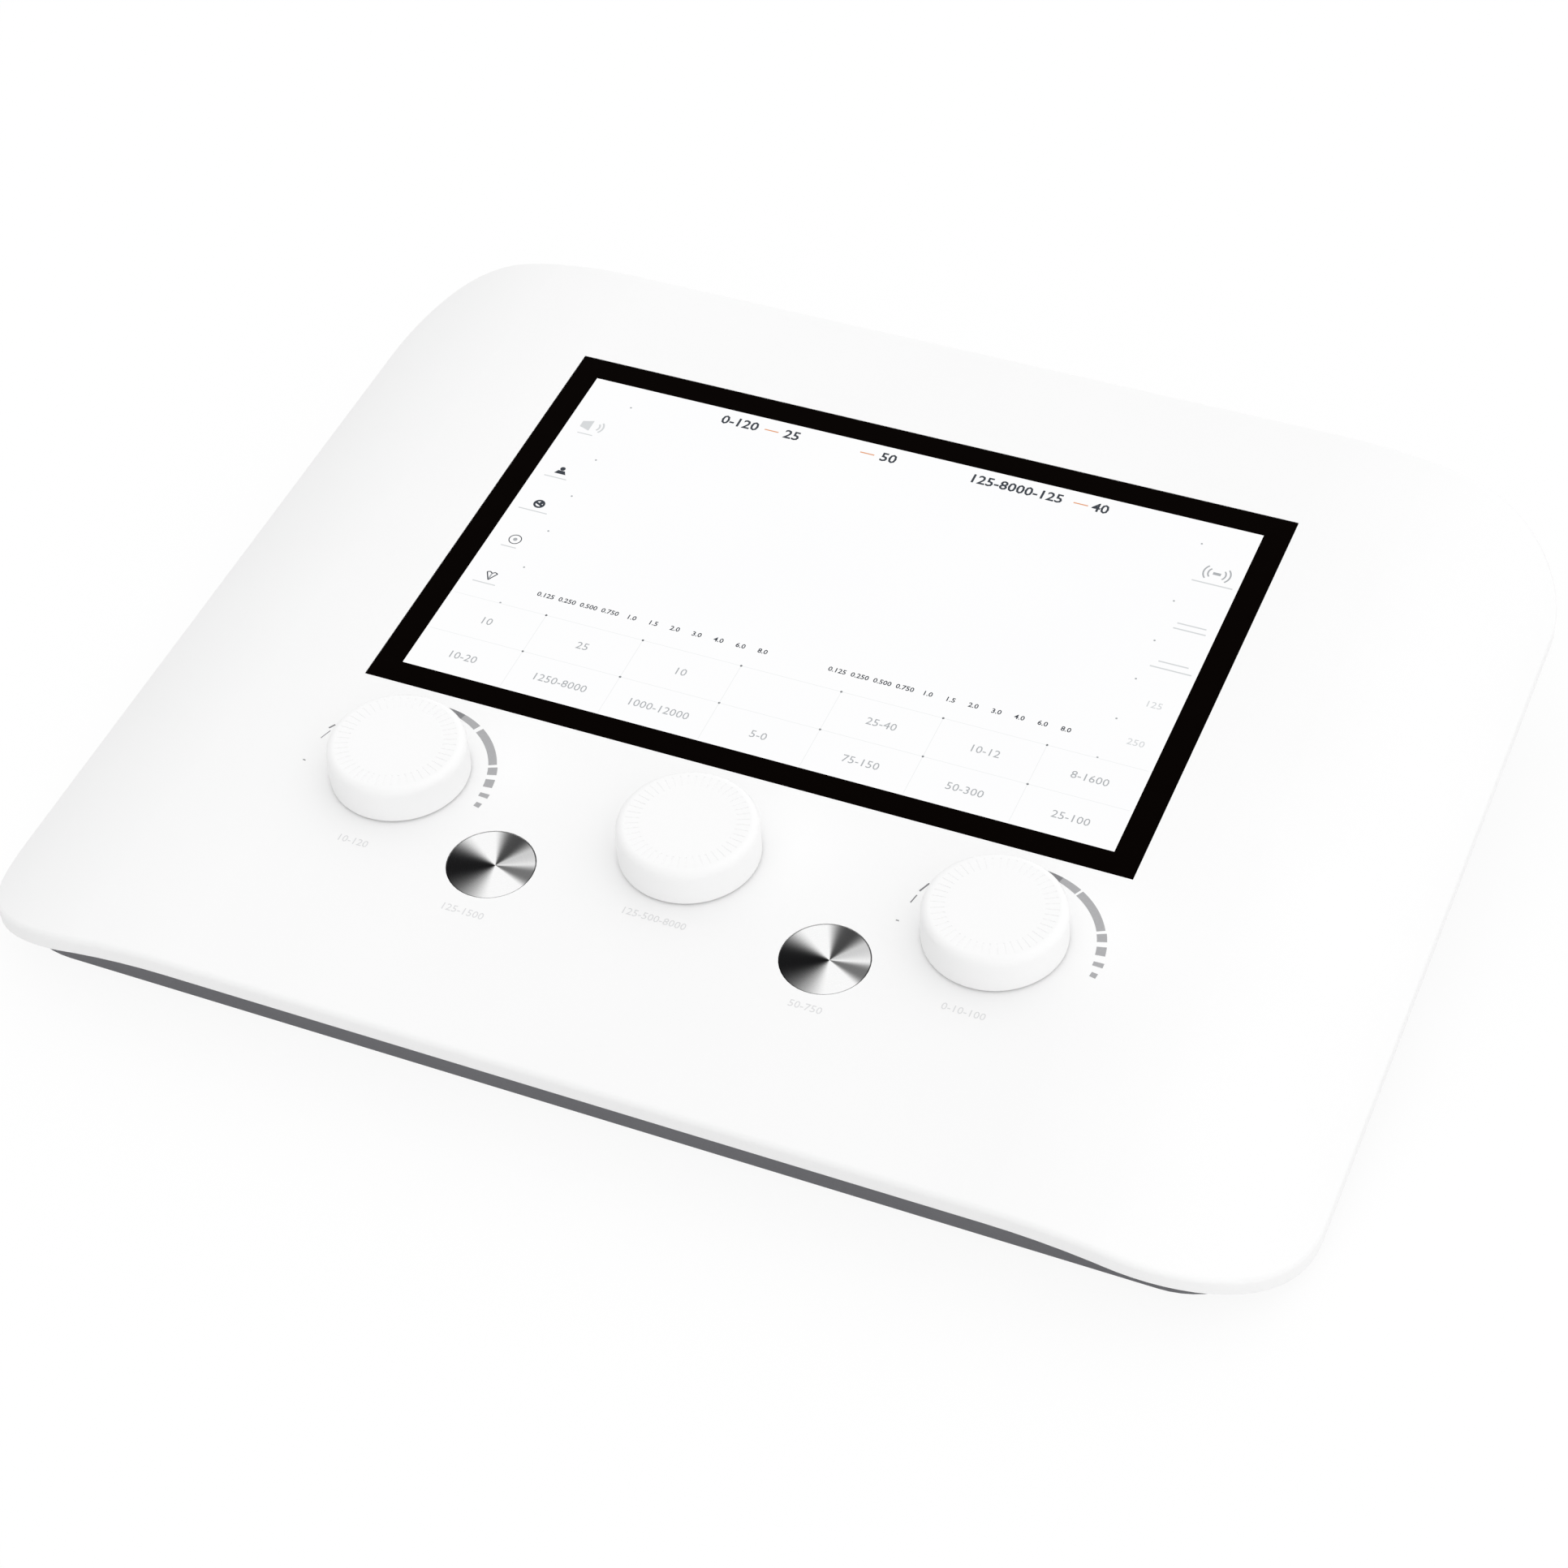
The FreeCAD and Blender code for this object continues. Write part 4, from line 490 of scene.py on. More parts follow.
# Zinc plate: cool grey, mottled along the rolling direction.
ZINC_SHEET = Lined("zinc_plated_sheet_steel", "#A9ADB3", "#BFC3C8", 0.34, (6.0, 1.2, 1.2))
ZINC_SCREW = Lined("zinc_plated_screw_steel", "#A4A8AE", "#C4C7CC", 0.3)
# Black oxide: dark, with bare steel showing through on the grain.
BLACK_SCREW = Lined("black_oxide_screw_steel", "#2A2A2C", "#3A3A3D", 0.42, metallic=0.9)
# Nickel plate: warm and almost mirror bright.
NICKEL = Lined("nickel_plated_brass", "#B9B4A9", "#CFCBC2", 0.2, (0.8, 0.8, 0.8), 0.002)
# Turned shafts: fine rings round the axis.
TURNED_SHAFT = Lined("turned_aluminium", "#BDBFC2", "#D5D6D8", 0.3, (2.0, 2.0, 0.3))
# Drawn wire: satin, with a fine even grain.
SPRING_WIRE = Lined("drawn_spring_steel", "#94979B", "#B4B6B9", 0.3, (0.5, 0.5, 0.5))
# Tin plate: white and soft, with rolling lines.
TIN_SHEET = Lined("tin_plated_sheet_steel", "#B6B7B8", "#C9CACA", 0.36, (4.0, 1.0, 1.0))
# Gold flash over brass: bright yellow lines along the pin.
GOLD_PIN = Lined("gold_plated_brass", "#D2AE60", "#E8C77A", 0.22, (0.4, 2.0, 0.4), 0.002)
# Shrunk plastic sleeve over an aluminium can: dark blue-grey with a faint metal glint.
CAN_SLEEVE = Lined("sleeved_aluminium_can", "#3C4350", "#4C5463", 0.4, (1.0, 1.0, 3.0), metallic=0.3)
# Pressed paper: dark, matt and fibrous.
CONE_PAPER = Lined("pressed_paper_cone", "#3A3633", "#2B2826", 0.85, (1.5, 0.4, 0.4), 0.05, 0.0)
# Flat cable: its wires, 0.5 mm apart, show as ribs in the film.
RIBBON_FILM = Lined("laminated_ribbon_cable", "#B4B6BD", "#D9DADF", 0.35, (0.5, 40.0, 40.0), 0.05, 0.0)
# Baked powder: dull black with an orange-peel skin some 0.7 mm wide.
POWDER_COAT = CoatedPlate("powder_coated_aluminium", "#3A3B3F", "#2B2C2F", 0.5, (0.7, 0.7, 0.7))
BASKET_PAINT = CoatedPlate("painted_steel_pressing", "#26262A", "#1B1B1D", 0.45, (0.9, 0.9, 0.9))
# Solder resist: green gloss with paler lines where copper tracks run below it.
GREEN_BOARD = Laminate("solder_resist_on_laminate", "#0F4A2A", "#1C6B3E", 1.27)


# ---- Marks: thin closed slabs that lie on a face ----


WELD_MM = 1e-5  # corners of a mark that lie nearer than this are one corner
WAVE_HALF_SPAN = 42.0  # half of what a sound wave sweeps, in degrees
WAVE_STEP = 10.0
DOT_SIDES = 8
RING_STEP = 15.0  # turn of one side of a ring, in degrees
GLYPH_STEPS = 2  # straight pieces between two points of a letter's curve


class Align(Enum):
    """Which side of a piece of text sits on its anchor."""

    LEFT = "LEFT"
    MIDDLE = "CENTER"


@dataclass(frozen=True)
class Plane:
    """A face that marks are drawn on, in the row's frame.

    Args:
        origin: a point of the face, in metres.
        across: unit vector to the reader's right.
        up: unit vector up the text.
    """

    origin: Vector
    across: Vector
    up: Vector

    def matrix(self) -> Matrix:
        """Return the move from the face's millimetres to the row's metres.

        Returns:
            A 4 by 4 matrix.
        """
        normal = self.across.cross(self.up)
        turn = Matrix((self.across, self.up, normal)).transposed().to_4x4()
        return Matrix.Translation(self.origin) @ turn @ Matrix.Scale(MM, 4)

    def at(self, x: float, y: float, z: float = 0.0) -> Vector:
        """Return the point in metres that lies at these millimetres of the face."""
        return self.matrix() @ Vector((x, y, z))


def on_circle(centre: Pair, radius: float, angle: float) -> Pair:
    """Return the point of a circle at this angle, in degrees."""
    turn = math.radians(angle)
    return (centre[0] + radius * math.cos(turn), centre[1] + radius * math.sin(turn))


@dataclass
class Marks:
    """Flat marks of one colour, drawn as thin slabs in a face's millimetres.

    Args:
        name: name of the piece.
        low: height of the slabs' underside over the face.
        high: height of their top.
        mesh: what has been drawn so far.
    """

    name: str
    low: float = -0.02
    high: float = 0.03
    mesh: bmesh.types.BMesh = field(default_factory=bmesh.new)

    def area(self, outline: Sequence[Pair]) -> None:
        """Add a slab with this outline.

        Args:
            outline: corners, anticlockwise.
        """
        lower = [self.mesh.verts.new((x, y, self.low)) for x, y in outline]
        upper = [self.mesh.verts.new((x, y, self.high)) for x, y in outline]
        self.mesh.faces.new(upper)
        self.mesh.faces.new(lower[::-1])
        count = len(outline)
        for k in range(count):
            following = (k + 1) % count
            self.mesh.faces.new((lower[k], lower[following], upper[following], upper[k]))

    def block(self, x: float, y: float, width: float, height: float) -> None:
        """Add a rectangle round (x, y).

        Args:
            x: its middle, across.
            y: its middle, up.
            width: size across.
            height: size up.
        """
        half_w, half_h = width / 2, height / 2
        corners = ((-half_w, -half_h), (half_w, -half_h), (half_w, half_h), (-half_w, half_h))
        self.area([(x + dx, y + dy) for dx, dy in corners])

    def stroke(self, points: Sequence[Pair], width: float) -> None:
        """Add a line with square corners.

        Args:
            points: the line's corners.
            width: thickness of the line.
        """
        for (x0, y0), (x1, y1) in zip(points, points[1:]):
            length = math.hypot(x1 - x0, y1 - y0)
            nx, ny = -(y1 - y0) / length * width / 2, (x1 - x0) / length * width / 2
            self.area([(x0 - nx, y0 - ny), (x1 - nx, y1 - ny), (x1 + nx, y1 + ny), (x0 + nx, y0 + ny)])

    def arc(self, centre: Pair, inner: Pair, outer: Pair, angles: Pair, step: float = 3.0) -> None:
        """Add a band along an arc, whose radii may change from its start to its end.

        Args:
            centre: middle of the arc.
            inner: inner radius at the start and at the end.
            outer: outer radius at the start and at the end.
            angles: start and end in degrees, anticlockwise.
            step: largest turn of one side of the band, in degrees.
        """
        start, end = angles
        count = max(1, math.ceil((end - start) / step))
        shares = [k / count for k in range(count + 1)]

        def point(radii: Pair, share: float) -> Pair:
            """Return the point at this share of the arc."""
            radius = radii[0] + (radii[1] - radii[0]) * share
            return on_circle(centre, radius, start + (end - start) * share)

        outline = [point(outer, share) for share in shares]
        self.area(outline + [point(inner, share) for share in reversed(shares)])

    def ring(self, centre: Pair, radius: float, width: float) -> None:
        """Add a whole ring, as two halves.

        Args:
            centre: its middle.
            radius: radius of the line's middle.
            width: thickness of the line.
        """
        radii = (radius - width / 2,) * 2, (radius + width / 2,) * 2
        for start in (0.0, 180.0):
            self.arc(centre, *radii, (start, start + 180.0), RING_STEP)

    def disc(self, centre: Pair, radius: float, sides: int = 16) -> None:
        """Add a filled disc."""
        self.area([on_circle(centre, radius, 360 * k / sides) for k in range(sides)])

    def dots(self, columns: Sequence[float], rows: Sequence[float], radius: float) -> None:
        """Add a small dot where each of the columns crosses each of the rows."""
        for x, y in itertools.product(columns, rows):
            self.disc((x, y), radius, DOT_SIDES)

    def lines(self, x: float, thickness: float, rows: Sequence[Pair]) -> None:
        """Add level lines round x, one for each pair of height and length."""
        for y, length in rows:
            self.block(x, y, length, thickness)

    def waves(self, centre: Pair, radii: Sequence[float], width: float, sides: Sequence[float]) -> None:
        """Add sound waves.

        Args:
            centre: where they come from.
            radii: their inner radii.
            width: thickness of a wave.
            sides: the directions that they go, in degrees.
        """
        for side, radius in itertools.product(sides, radii):
            span = (side - WAVE_HALF_SPAN, side + WAVE_HALF_SPAN)
            self.arc(centre, (radius,) * 2, (radius + width,) * 2, span, WAVE_STEP)

    def write(
        self, labels: Iterable[Label], size: float, align: Align = Align.MIDDLE, bolder: float = 0.0
    ) -> None:
        """Add numbers or signs.

        Args:
            labels: what to write, and its anchor on the middle line of the text.
            size: height of the font's body.
            align: side of the text that sits on the anchor.
            bolder: what each side of a stroke gains.
        """
        for text, (x, y) in labels:
            curve = bpy.data.curves.new("type", "FONT")
            curve.body = text
            curve.size = size
            curve.align_x = align.value
            curve.align_y = "CENTER"
            curve.resolution_u = GLYPH_STEPS
            curve.offset = bolder
            curve.extrude = (self.high - self.low) / 2
            holder = bpy.data.objects.new("type", curve)
            glyphs = bpy.data.meshes.new_from_object(holder)
            glyphs.transform(Matrix.Translation((x, y, (self.high + self.low) / 2)))
            self.mesh.from_mesh(glyphs)
            bpy.data.objects.remove(holder)
            bpy.data.curves.remove(curve)
            bpy.data.meshes.remove(glyphs)

    def lay(self, plane: Plane, finish: Finish, slot: str, body: str = "housing") -> bpy.types.Object:
        """Turn the marks into a piece that rides on a body.

        Args:
            plane: the face that they lie on.
            finish: their finish.
            slot: name of a record's slot; not used.
            body: CAD body that carries them.

        Returns:
            The new piece.
        """
        bmesh.ops.remove_doubles(self.mesh, verts=self.mesh.verts[:], dist=WELD_MM)
        bmesh.ops.recalc_face_normals(self.mesh, faces=self.mesh.faces[:])
        data = bpy.data.meshes.new(self.name)
        self.mesh.to_mesh(data)
        self.mesh.free()
        data.transform(plane.matrix())
        data.materials.append(finish.material())
        piece = bpy.data.objects.new(self.name, data)
        bpy.context.scene.collection.objects.link(piece)
        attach(piece, body)
        return piece


# A method of Marks and what it is called with.
Shape = tuple[Callable[..., None], Sequence[object]]


# ---- Sub-assemblies ----

LABEL_SIZE = 3.4  # font body of the numbers printed on the housing, in millimetres


@dataclass
class Assembly:
    """A group of pieces that is dressed together.

    Args:
        nodes: the frame's CAD objects by name.
    """

    nodes: Mapping[str, bpy.types.Object]

    def dress(self, finish: Finish, *names: str) -> None:
        """Give CAD nodes their finish.

        Args:
            finish: finish for all of them.
            names: the nodes.
        """
        for name in names:
            for entry in self.nodes[name].material_slots:
                entry.material = finish.material()

    def build(self) -> None:
        """Make the meshes and dress the nodes; each assembly has its own."""
        raise NotImplementedError


@dataclass
class Housing(Assembly):
    """White cover, grey base, feet and the screws between them."""

    def build(self) -> None:
        """Dress the shell pieces."""
        self.dress(WHITE_ABS, "top_cover")
        self.dress(GREY_ABS, "base_tub")
        for end in ("front", "rear"):
            self.dress(FOOT_RUBBER, f"{end}_left_foot", f"{end}_right_foot")
        self.dress(ZINC_SCREW, "housing_screws")


@dataclass
class TouchScreen(Assembly):
    """Cover glass with its lit picture, and what holds the display.

    Args:
        panel: face of the glass, with its origin at the lit area's front left corner.
        width: lit area across.
        depth: lit area from front to back.
        dial_gap: lit area's front edge behind the dials' axes.
        dial_side: lit area's left edge from the middle dial's axis.
        header: row, font body and bolder strokes of the values along the back edge.
        header_values: each value and its left end.
        dashes: middles of the dashes before the units.
        dash: length and thickness of a dash.
        signs: plain signs, lines and dots down both sides: piece, finish and shapes of each colour.
        scale: row, font body and bolder strokes of the numbers under the two graphs.
        numbers: what they say.
        number_starts: middle of each graph's first number.
        number_pitch: from one number to the next.
        key_pitch: width of a soft key.
        key_lines: lines behind the front and the back row of soft keys.
        key_rule: thickness of the lines round the keys.
        key_rule_gaps: how much shorter than the picture and the two rows these lines are.
        key_dot: radius of the dots where they cross.
        key_rows: middles of the numbers in the two rows.
        key_size: their font body.
        key_words: the numbers, front row and back row.
    """

    panel: Plane
    width: float = 216.7
    depth: float = 134.8
    dial_gap: float = 39.6
    dial_side: float = -108.25
    header: Triple = (129.8, 5.3, 0.1)
    header_values: tuple[tuple[str, float], ...] = (
        ("0-120", 44.6), ("25", 65.4), ("50", 97.1), ("125-8000-125", 126.0), ("40", 165.0),
    )
    dashes: tuple[float, ...] = (61.3, 92.9, 161.5)
    dash: Pair = (4.6, 0.45)
    signs: tuple[tuple[str, Finish, tuple[Shape, ...]], ...] = (
        ("screen_side_signs", LIT_DARK, (
            (Marks.disc, ((8.1, 92.2), 0.85)),
            (Marks.area, (((6.2, 89.8), (10.0, 89.8), (9.2, 91.3), (7.0, 91.3)),)),
            (Marks.ring, ((8.1, 75.3), 1.5, 0.7)),
            (Marks.stroke, (((6.6, 75.9), (9.4, 74.6)), 0.8)),
            (Marks.disc, ((8.6, 75.9), 0.6, 10)),
            (Marks.ring, ((8.1, 58.5), 1.9, 0.3)),
            (Marks.stroke, (((6.4, 42.9), (7.3, 43.3), (8.1, 42.7), (8.9, 43.3), (9.8, 42.9)), 0.36)),
            (Marks.stroke, (((9.8, 42.9), (8.1, 39.8), (6.4, 42.9)), 0.36)),
        )),
        ("screen_side_outlines", LIT_GREY, (
            (Marks.disc, ((8.1, 58.5), 0.7, 10)),
            (Marks.stroke, (((8.1, 42.6), (8.1, 40.4)), 0.5)),
            (Marks.waves, ((208.9, 114.3), (2.4, 3.8), 0.5, (180.0, 0.0))),
            (Marks.block, (208.9, 114.3, 2.4, 1.1)),
            (Marks.dots, ((15.9, 200.7), (32.1, 48.3, 65.2, 81.8, 99.3, 125.3), 0.35)),
        )),
        ("screen_side_lines", LIT_FAINT, (
            (Marks.area, (
                ((4.5, 112.1), (5.9, 111.7), (7.9, 111.0), (7.9, 115.8), (5.9, 115.1), (4.5, 114.7)),
            )),
            (Marks.waves, ((8.5, 113.4), (1.8, 3.0), 0.6, (0.0,))),
            (Marks.lines, (7.5, 0.4, ((109.3, 5.0), (87.9, 7.4), (71.9, 9.4), (55.0, 5.0), (38.2, 7.4)))),
            (Marks.lines, (
                208.9, 0.5, ((109.6, 12.4), (90.9, 8.8), (88.6, 9.8), (74.2, 9.0), (71.6, 12.4)),
            )),
            (Marks.write, ((("125", (208.9, 56.7)), ("250", (208.9, 40.9))), 3.5)),
        )),
    )
    scale: Triple = (39.3, 2.5, 0.04)
    numbers: tuple[str, ...] = (
        "0.125", "0.250", "0.500", "0.750", "1.0", "1.5", "2.0", "3.0", "4.0", "6.0", "8.0",
    )
    number_starts: Pair = (27.3, 119.7)
    number_pitch: float = 6.92
    key_pitch: float = 31.0
    key_lines: Pair = (15.8, 31.8)
    key_rule: float = 0.14
    key_rule_gaps: Pair = (2.0, 1.0)
    key_dot: float = 0.38
    key_rows: Pair = (7.6, 23.5)
    key_size: float = 4.0
    key_words: tuple[tuple[str, ...], ...] = (
        ("10-20", "1250-8000", "1000-12000", "5-0", "75-150", "50-300", "25-100"),
        ("10", "25", "10", "", "25-40", "10-12", "8-1600"),
    )

    def build(self) -> None:
        """Draw the picture and dress the display's parts."""
        self.dress(BLACK_GLASS, "display_glass")
        self.dress(FOAM, "display_gasket")
        self.dress(LCD_BACKLIGHT, "lcd_module")
        self.dress(ZINC_SHEET, "display_bracket")
        self.dress(ZINC_SCREW, "bracket_screws")
        # The white field lies just proud of the glass, and all other marks on it.
        field_white = Marks("screen_white_field", -0.01, 0.01)
        field_white.block(self.width / 2, self.depth / 2, self.width, self.depth)
        self.lay(field_white, LIT_WHITE)
        self.draw_header()
        for name, finish, shapes in self.signs:
            marks = Marks(name)
            for draw, settings in shapes:
                draw(marks, *settings)
            self.lay(marks, finish)
        self.draw_scales()
        self.draw_soft_keys()

    def lay(self, marks: Marks, finish: Finish) -> None:
        """Put one colour of the picture on the glass."""
        marks.lay(self.panel, finish, "lcd_panel")

    def draw_header(self) -> None:
        """Write the values along the back edge, with a dash before each unit."""
        row, size, bolder = self.header
        dark = Marks("screen_header_values")
        dark.write([(text, (left, row)) for text, left in self.header_values], size, Align.LEFT, bolder)
        self.lay(dark, LIT_DARK)
        orange = Marks("screen_header_dashes")
        for x in self.dashes:
            orange.block(x, row, *self.dash)
        self.lay(orange, LIT_ORANGE)

    def draw_scales(self) -> None:
        """Write the two rows of small numbers."""
        row, size, bolder = self.scale
        dark = Marks("screen_scale_numbers")
        for first in self.number_starts:
            places = [(first + self.number_pitch * k, row) for k in range(len(self.numbers))]
            dark.write(zip(self.numbers, places), size, bolder=bolder)
        self.lay(dark, LIT_DARK)

    def draw_soft_keys(self) -> None:
        """Rule the soft keys and write their numbers."""
        rules = Marks("screen_key_rules")
        joints = Marks("screen_key_dots")
        text = Marks("screen_key_numbers")
        columns = [column * self.key_pitch for column in range(1, len(self.key_words[0]))]
        across, along = self.key_rule_gaps
        top = self.key_lines[1]
        for y in self.key_lines:
            rules.block(self.width / 2, y, self.width - across, self.key_rule)
        for x in columns:
            rules.block(x, top / 2, self.key_rule, top - along)
        self.lay(rules, LIT_RULE)
        joints.dots(columns, self.key_lines, self.key_dot)
        self.lay(joints, LIT_DARK)
        for y, row in zip(self.key_rows, self.key_words):
            places = [((column + 0.5) * self.key_pitch, y) for column in range(len(row))]
            text.write([label for label in zip(row, places) if label[0]], self.key_size)
        self.lay(text, LIT_GREY)


@dataclass(frozen=True)
class PrintedScale:
    """Tapering scale round one dial, with a few dashes on its other side.

    Args:
        centre: middle of its arcs, from the middle dial's axis.
        turn: how far its blocks are turned, in degrees.
        tip: angle of the pointed end.
        dashes: a dash's two ends and its width.
    """

    centre: Pair
    turn: float
    tip: float
    dashes: tuple[tuple[Pair, Pair, float], ...]


@dataclass
class Dials(Assembly):
    """Three white dials, their encoders and the scales printed round them.

    Args:
        panel: panel face, with its origin on the middle dial's axis.
        taper_end: where the pointed end is full width, in degrees.
        ink_change: where the pointed end turns to darker ink, in degrees.
        taper_inner: inner radius at the taper's end, at the change of ink and at the tip.
        taper_outer: outer radius of the pointed end.
        blocks: start and end in degrees, inner and outer radius of each block, from the tip on.
        scales: the printed scales.
        labels: numbers printed in front of the dials, and their places.
    """

    panel: Plane
    taper_end: float = 60.2
    ink_change: float = 74.0
    taper_inner: Triple = (24.7, 25.0, 26.9)
    taper_outer: float = 27.0
    blocks: tuple[tuple[float, float, float, float], ...] = (
        (24.5, 57.0, 24.6, 27.0),
        (15.9, 22.2, 24.55, 27.25),
        (5.3, 12.0, 24.6, 27.3),
        (-3.3, 0.0, 24.9, 27.8),
        (-11.8, -8.2, 25.8, 27.6),
    )
    scales: tuple[PrintedScale, ...] = (
        PrintedScale((-88.9, 0.3), 0.0, 91.5, (
            ((-115.9, 8.2), (-114.8, 10.0), 0.5),
            ((-116.2, 3.9), (-115.0, 7.4), 0.25),
            ((-117.0, -5.4), (-116.2, -5.5), 0.35),
        )),
        PrintedScale((91.3, -0.1), 1.6, 87.5, (
            ((64.1, 8.0), (65.6, 11.5), 0.5),
            ((63.3, 3.3), (63.95, 6.4), 0.35),
            ((61.9, -3.9), (62.8, -3.9), 0.35),
        )),
    )
    labels: tuple[Label, ...] = (
        ("10-120", (-89.3, -28.6)), ("125-500-8000", (0.6, -26.0)), ("0-10-100", (90.1, -27.6)),
    )

    def build(self) -> None:
        """Print the scales and dress the dials."""
        for side in ("left", "center", "right"):
            self.dress(DIAL_ABS, f"{side}_knob")
            self.dress(TURNED_SHAFT, f"{side}_shaft")
            self.dress(ZINC_SHEET, f"{side}_encoder")
        self.dress(NICKEL, "encoder_washers", "encoder_nuts")
        self.print_scales()
        ink = Marks("dial_label_print")
        ink.write(self.labels, LABEL_SIZE)
        ink.lay(self.panel, PALE_INK, "cover_white")

    def print_scales(self) -> None:
        """Print the tapering arcs right of the outer dials and the dashes left of them."""
        grey = Marks("dial_scale_print")
        dark = Marks("dial_dash_print")
        full, middle, thin = self.taper_inner
        outer = (self.taper_outer,) * 2
        for scale in self.scales:
            grey.arc(scale.centre, (full, middle), outer, (self.taper_end, self.ink_change))
            dark.arc(scale.centre, (middle, thin), outer, (self.ink_change, scale.tip))
            for start, end, inner, rim in self.blocks:
                grey.arc(scale.centre, (inner,) * 2, (rim,) * 2, (start + scale.turn, end + scale.turn))
            for start, end, width in scale.dashes:
                dark.stroke((start, end), width)
        grey.lay(self.panel, GREY_INK, "cover_white")
        dark.lay(self.panel, DARK_INK, "cover_white")


@dataclass
class Keys(Assembly):
    """Two flush spun-metal keys with their plungers, springs and pads.

    Args:
        panel: panel face, with its origin on the centre dial's axis.
        tilt: the panel's slope about X, in radians.
        spread: distance of each key from the middle.
        row: key axes, from the dial axes on.
        spin_shift: middle of the spin lines and of the painted reflection, right of the key's axis.
        labels: number in front of each key, and where.
        fans: painted dark reflections that both spun faces show.
        last_fans: the left and the right key's last painted dark reflection.
    """

    panel: Plane
    tilt: float
    spread: float = 49.3
    row: float = -23.2
    spin_shift: float = 1.3
    labels: tuple[Label, ...] = (("125-1500", (-49.2, -41.5)), ("50-750", (50.7, -40.5)))
    fans: tuple[DarkFan, ...] = (
        DarkFan(198.5, 56.0, 0.975), DarkFan(220.5, 67.0, 0.81),
        DarkFan(83.0, 33.5, 0.91), DarkFan(58.0, 47.0, 0.36),
    )
    last_fans: tuple[DarkFan, ...] = (DarkFan(-1.0, 25.0, 0.82), DarkFan(-6.4, 25.0, 0.82))

    def build(self) -> None:
        """Dress each key and print the numbers."""
        for side, x, fan in zip(("left", "right"), (-self.spread, self.spread), self.last_fans):
            centre = tuple(self.panel.at(x + self.spin_shift, self.row))
            fans = (*self.fans, fan)
            # Each cap's base colour carries a painted reflection: bright, with dark fans round its middle.
            face = SpunMetal(f"spun_aluminium_painted_reflection_{side}", "#FAFAFA", "#0A0A0C", centre, self.tilt, fans)
            self.dress(face, f"{side}_key_cap")
            self.dress(BLACK_NYLON, f"{side}_key_plunger")
            self.dress(SPRING_WIRE, f"{side}_key_spring")
            self.dress(PAD_SILICONE, f"{side}_key_pad")
        ink = Marks("key_label_print")
        ink.write(self.labels, LABEL_SIZE)
        ink.lay(self.panel, PALE_INK, "cover_white")


@dataclass
class RearPanel(Assembly):
    """Coated rear plate with its sockets, ports and power switch.

    Args:
        jacks: socket nodes, from the left as seen from the front.
        number_rise: numbers' height over the sockets' axes.
        ring: radius and line width of the ring round a number.
    """

    jacks: tuple[str, ...] = (
        "left_phone_jack", "right_phone_jack", "bone_jack", "response_jack", "microphone_jack",
    )
    number_rise: float = 11.5
    ring: Pair = (2.6, 0.3)

    def build(self) -> None:
        """Dress the plate and the sockets, and print their numbers."""
        self.dress(POWDER_COAT, "rear_panel")
        self.dress(BLACK_SCREW, "rear_panel_screws")
        self.dress(BLACK_NYLON, *self.jacks, "power_inlet")
        self.dress(NICKEL, "jack_nuts")
        self.dress(TIN_SHEET, "usb_port")
        self.dress(GOLD_PIN, "inlet_pins")
        self.dress(GLOSS_NYLON, "switch_housing", "switch_rocker")
        self.print_numbers()

    def print_numbers(self) -> None:
        """Print a number in a ring over each socket."""
        low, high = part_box("rear_panel")
        face = Plane(Vector((0.0, high.y, low.z)), Vector((-1, 0, 0)), Vector((0, 0, 1)))
        ink = Marks("socket_number_print")
        for number, name in enumerate(self.jacks, 1):
            jack_low, jack_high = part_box(name)
            x = -(jack_low.x + jack_high.x) / 2 / MM
            z = ((jack_low.z + jack_high.z) / 2 - low.z) / MM + self.number_rise
            ink.write([(str(number), (x, z))], LABEL_SIZE)
            ink.ring((x, z), *self.ring)
        ink.lay(face, WHITE_INK, "rear_plate")


@dataclass
class Electronics(Assembly):
    """Boards, screws and parts inside the housing."""

    def build(self) -> None:
        """Dress what stands inside."""
        self.dress(GREEN_BOARD, "control_board", "main_board")
        self.dress(ZINC_SCREW, "control_board_screws", "main_board_screws")
        self.dress(TIN_SHEET, "processor_shield")
        self.dress(CAN_SLEEVE, "capacitors")
        self.dress(RIBBON_FILM, "control_ribbon", "display_ribbon")
        self.dress(CREAM_NYLON, "ribbon_connectors")


@dataclass
class Loudspeaker(Assembly):
    """Monitor loudspeaker over the slots in the floor."""

    def build(self) -> None:
        """Dress basket and cone."""
        self.dress(BASKET_PAINT, "speaker_basket")
        self.dress(CONE_PAPER, "speaker_cone")


# ---- Studio ----


@dataclass(frozen=True)
class StudioFloor(Finish):
    """Pale paper floor that keeps a soft shadow.

    Args:
        bounce_color: colour of the paper for light that bounces off it.
        color: colour of the paper where it is seen.
        glow: share of its seen brightness that doesn't depend on the lamps.
    """

    bounce_color: str
    color: str
    glow: float

    def surface(self, tree: Tree) -> Socket:
        """Build plain paper, and a paler one for what sees it directly.

        Args:
            tree: node tree of the material.

        Returns:
            The shader's output.
        """
        paper = linear(self.color)
        dimmed = tuple(part * (1 - self.glow) for part in paper[:3]) + (1.0,)
        bounced = {"Color": linear(self.bounce_color)}
        plain = add_node(tree, "BsdfDiffuse", inputs=bounced)[0]
        soft = add_node(tree, "BsdfDiffuse", inputs={"Color": dimmed})[0]
        light = add_node(tree, "Emission", inputs={"Strength": self.glow})[0]
        pale = add_node(tree, "AddShader", inputs={0: soft, 1: light})[0]
        inputs = {0: seen_directly(tree), 1: plain, 2: pale}
        return add_node(tree, "MixShader", inputs=inputs)[0]


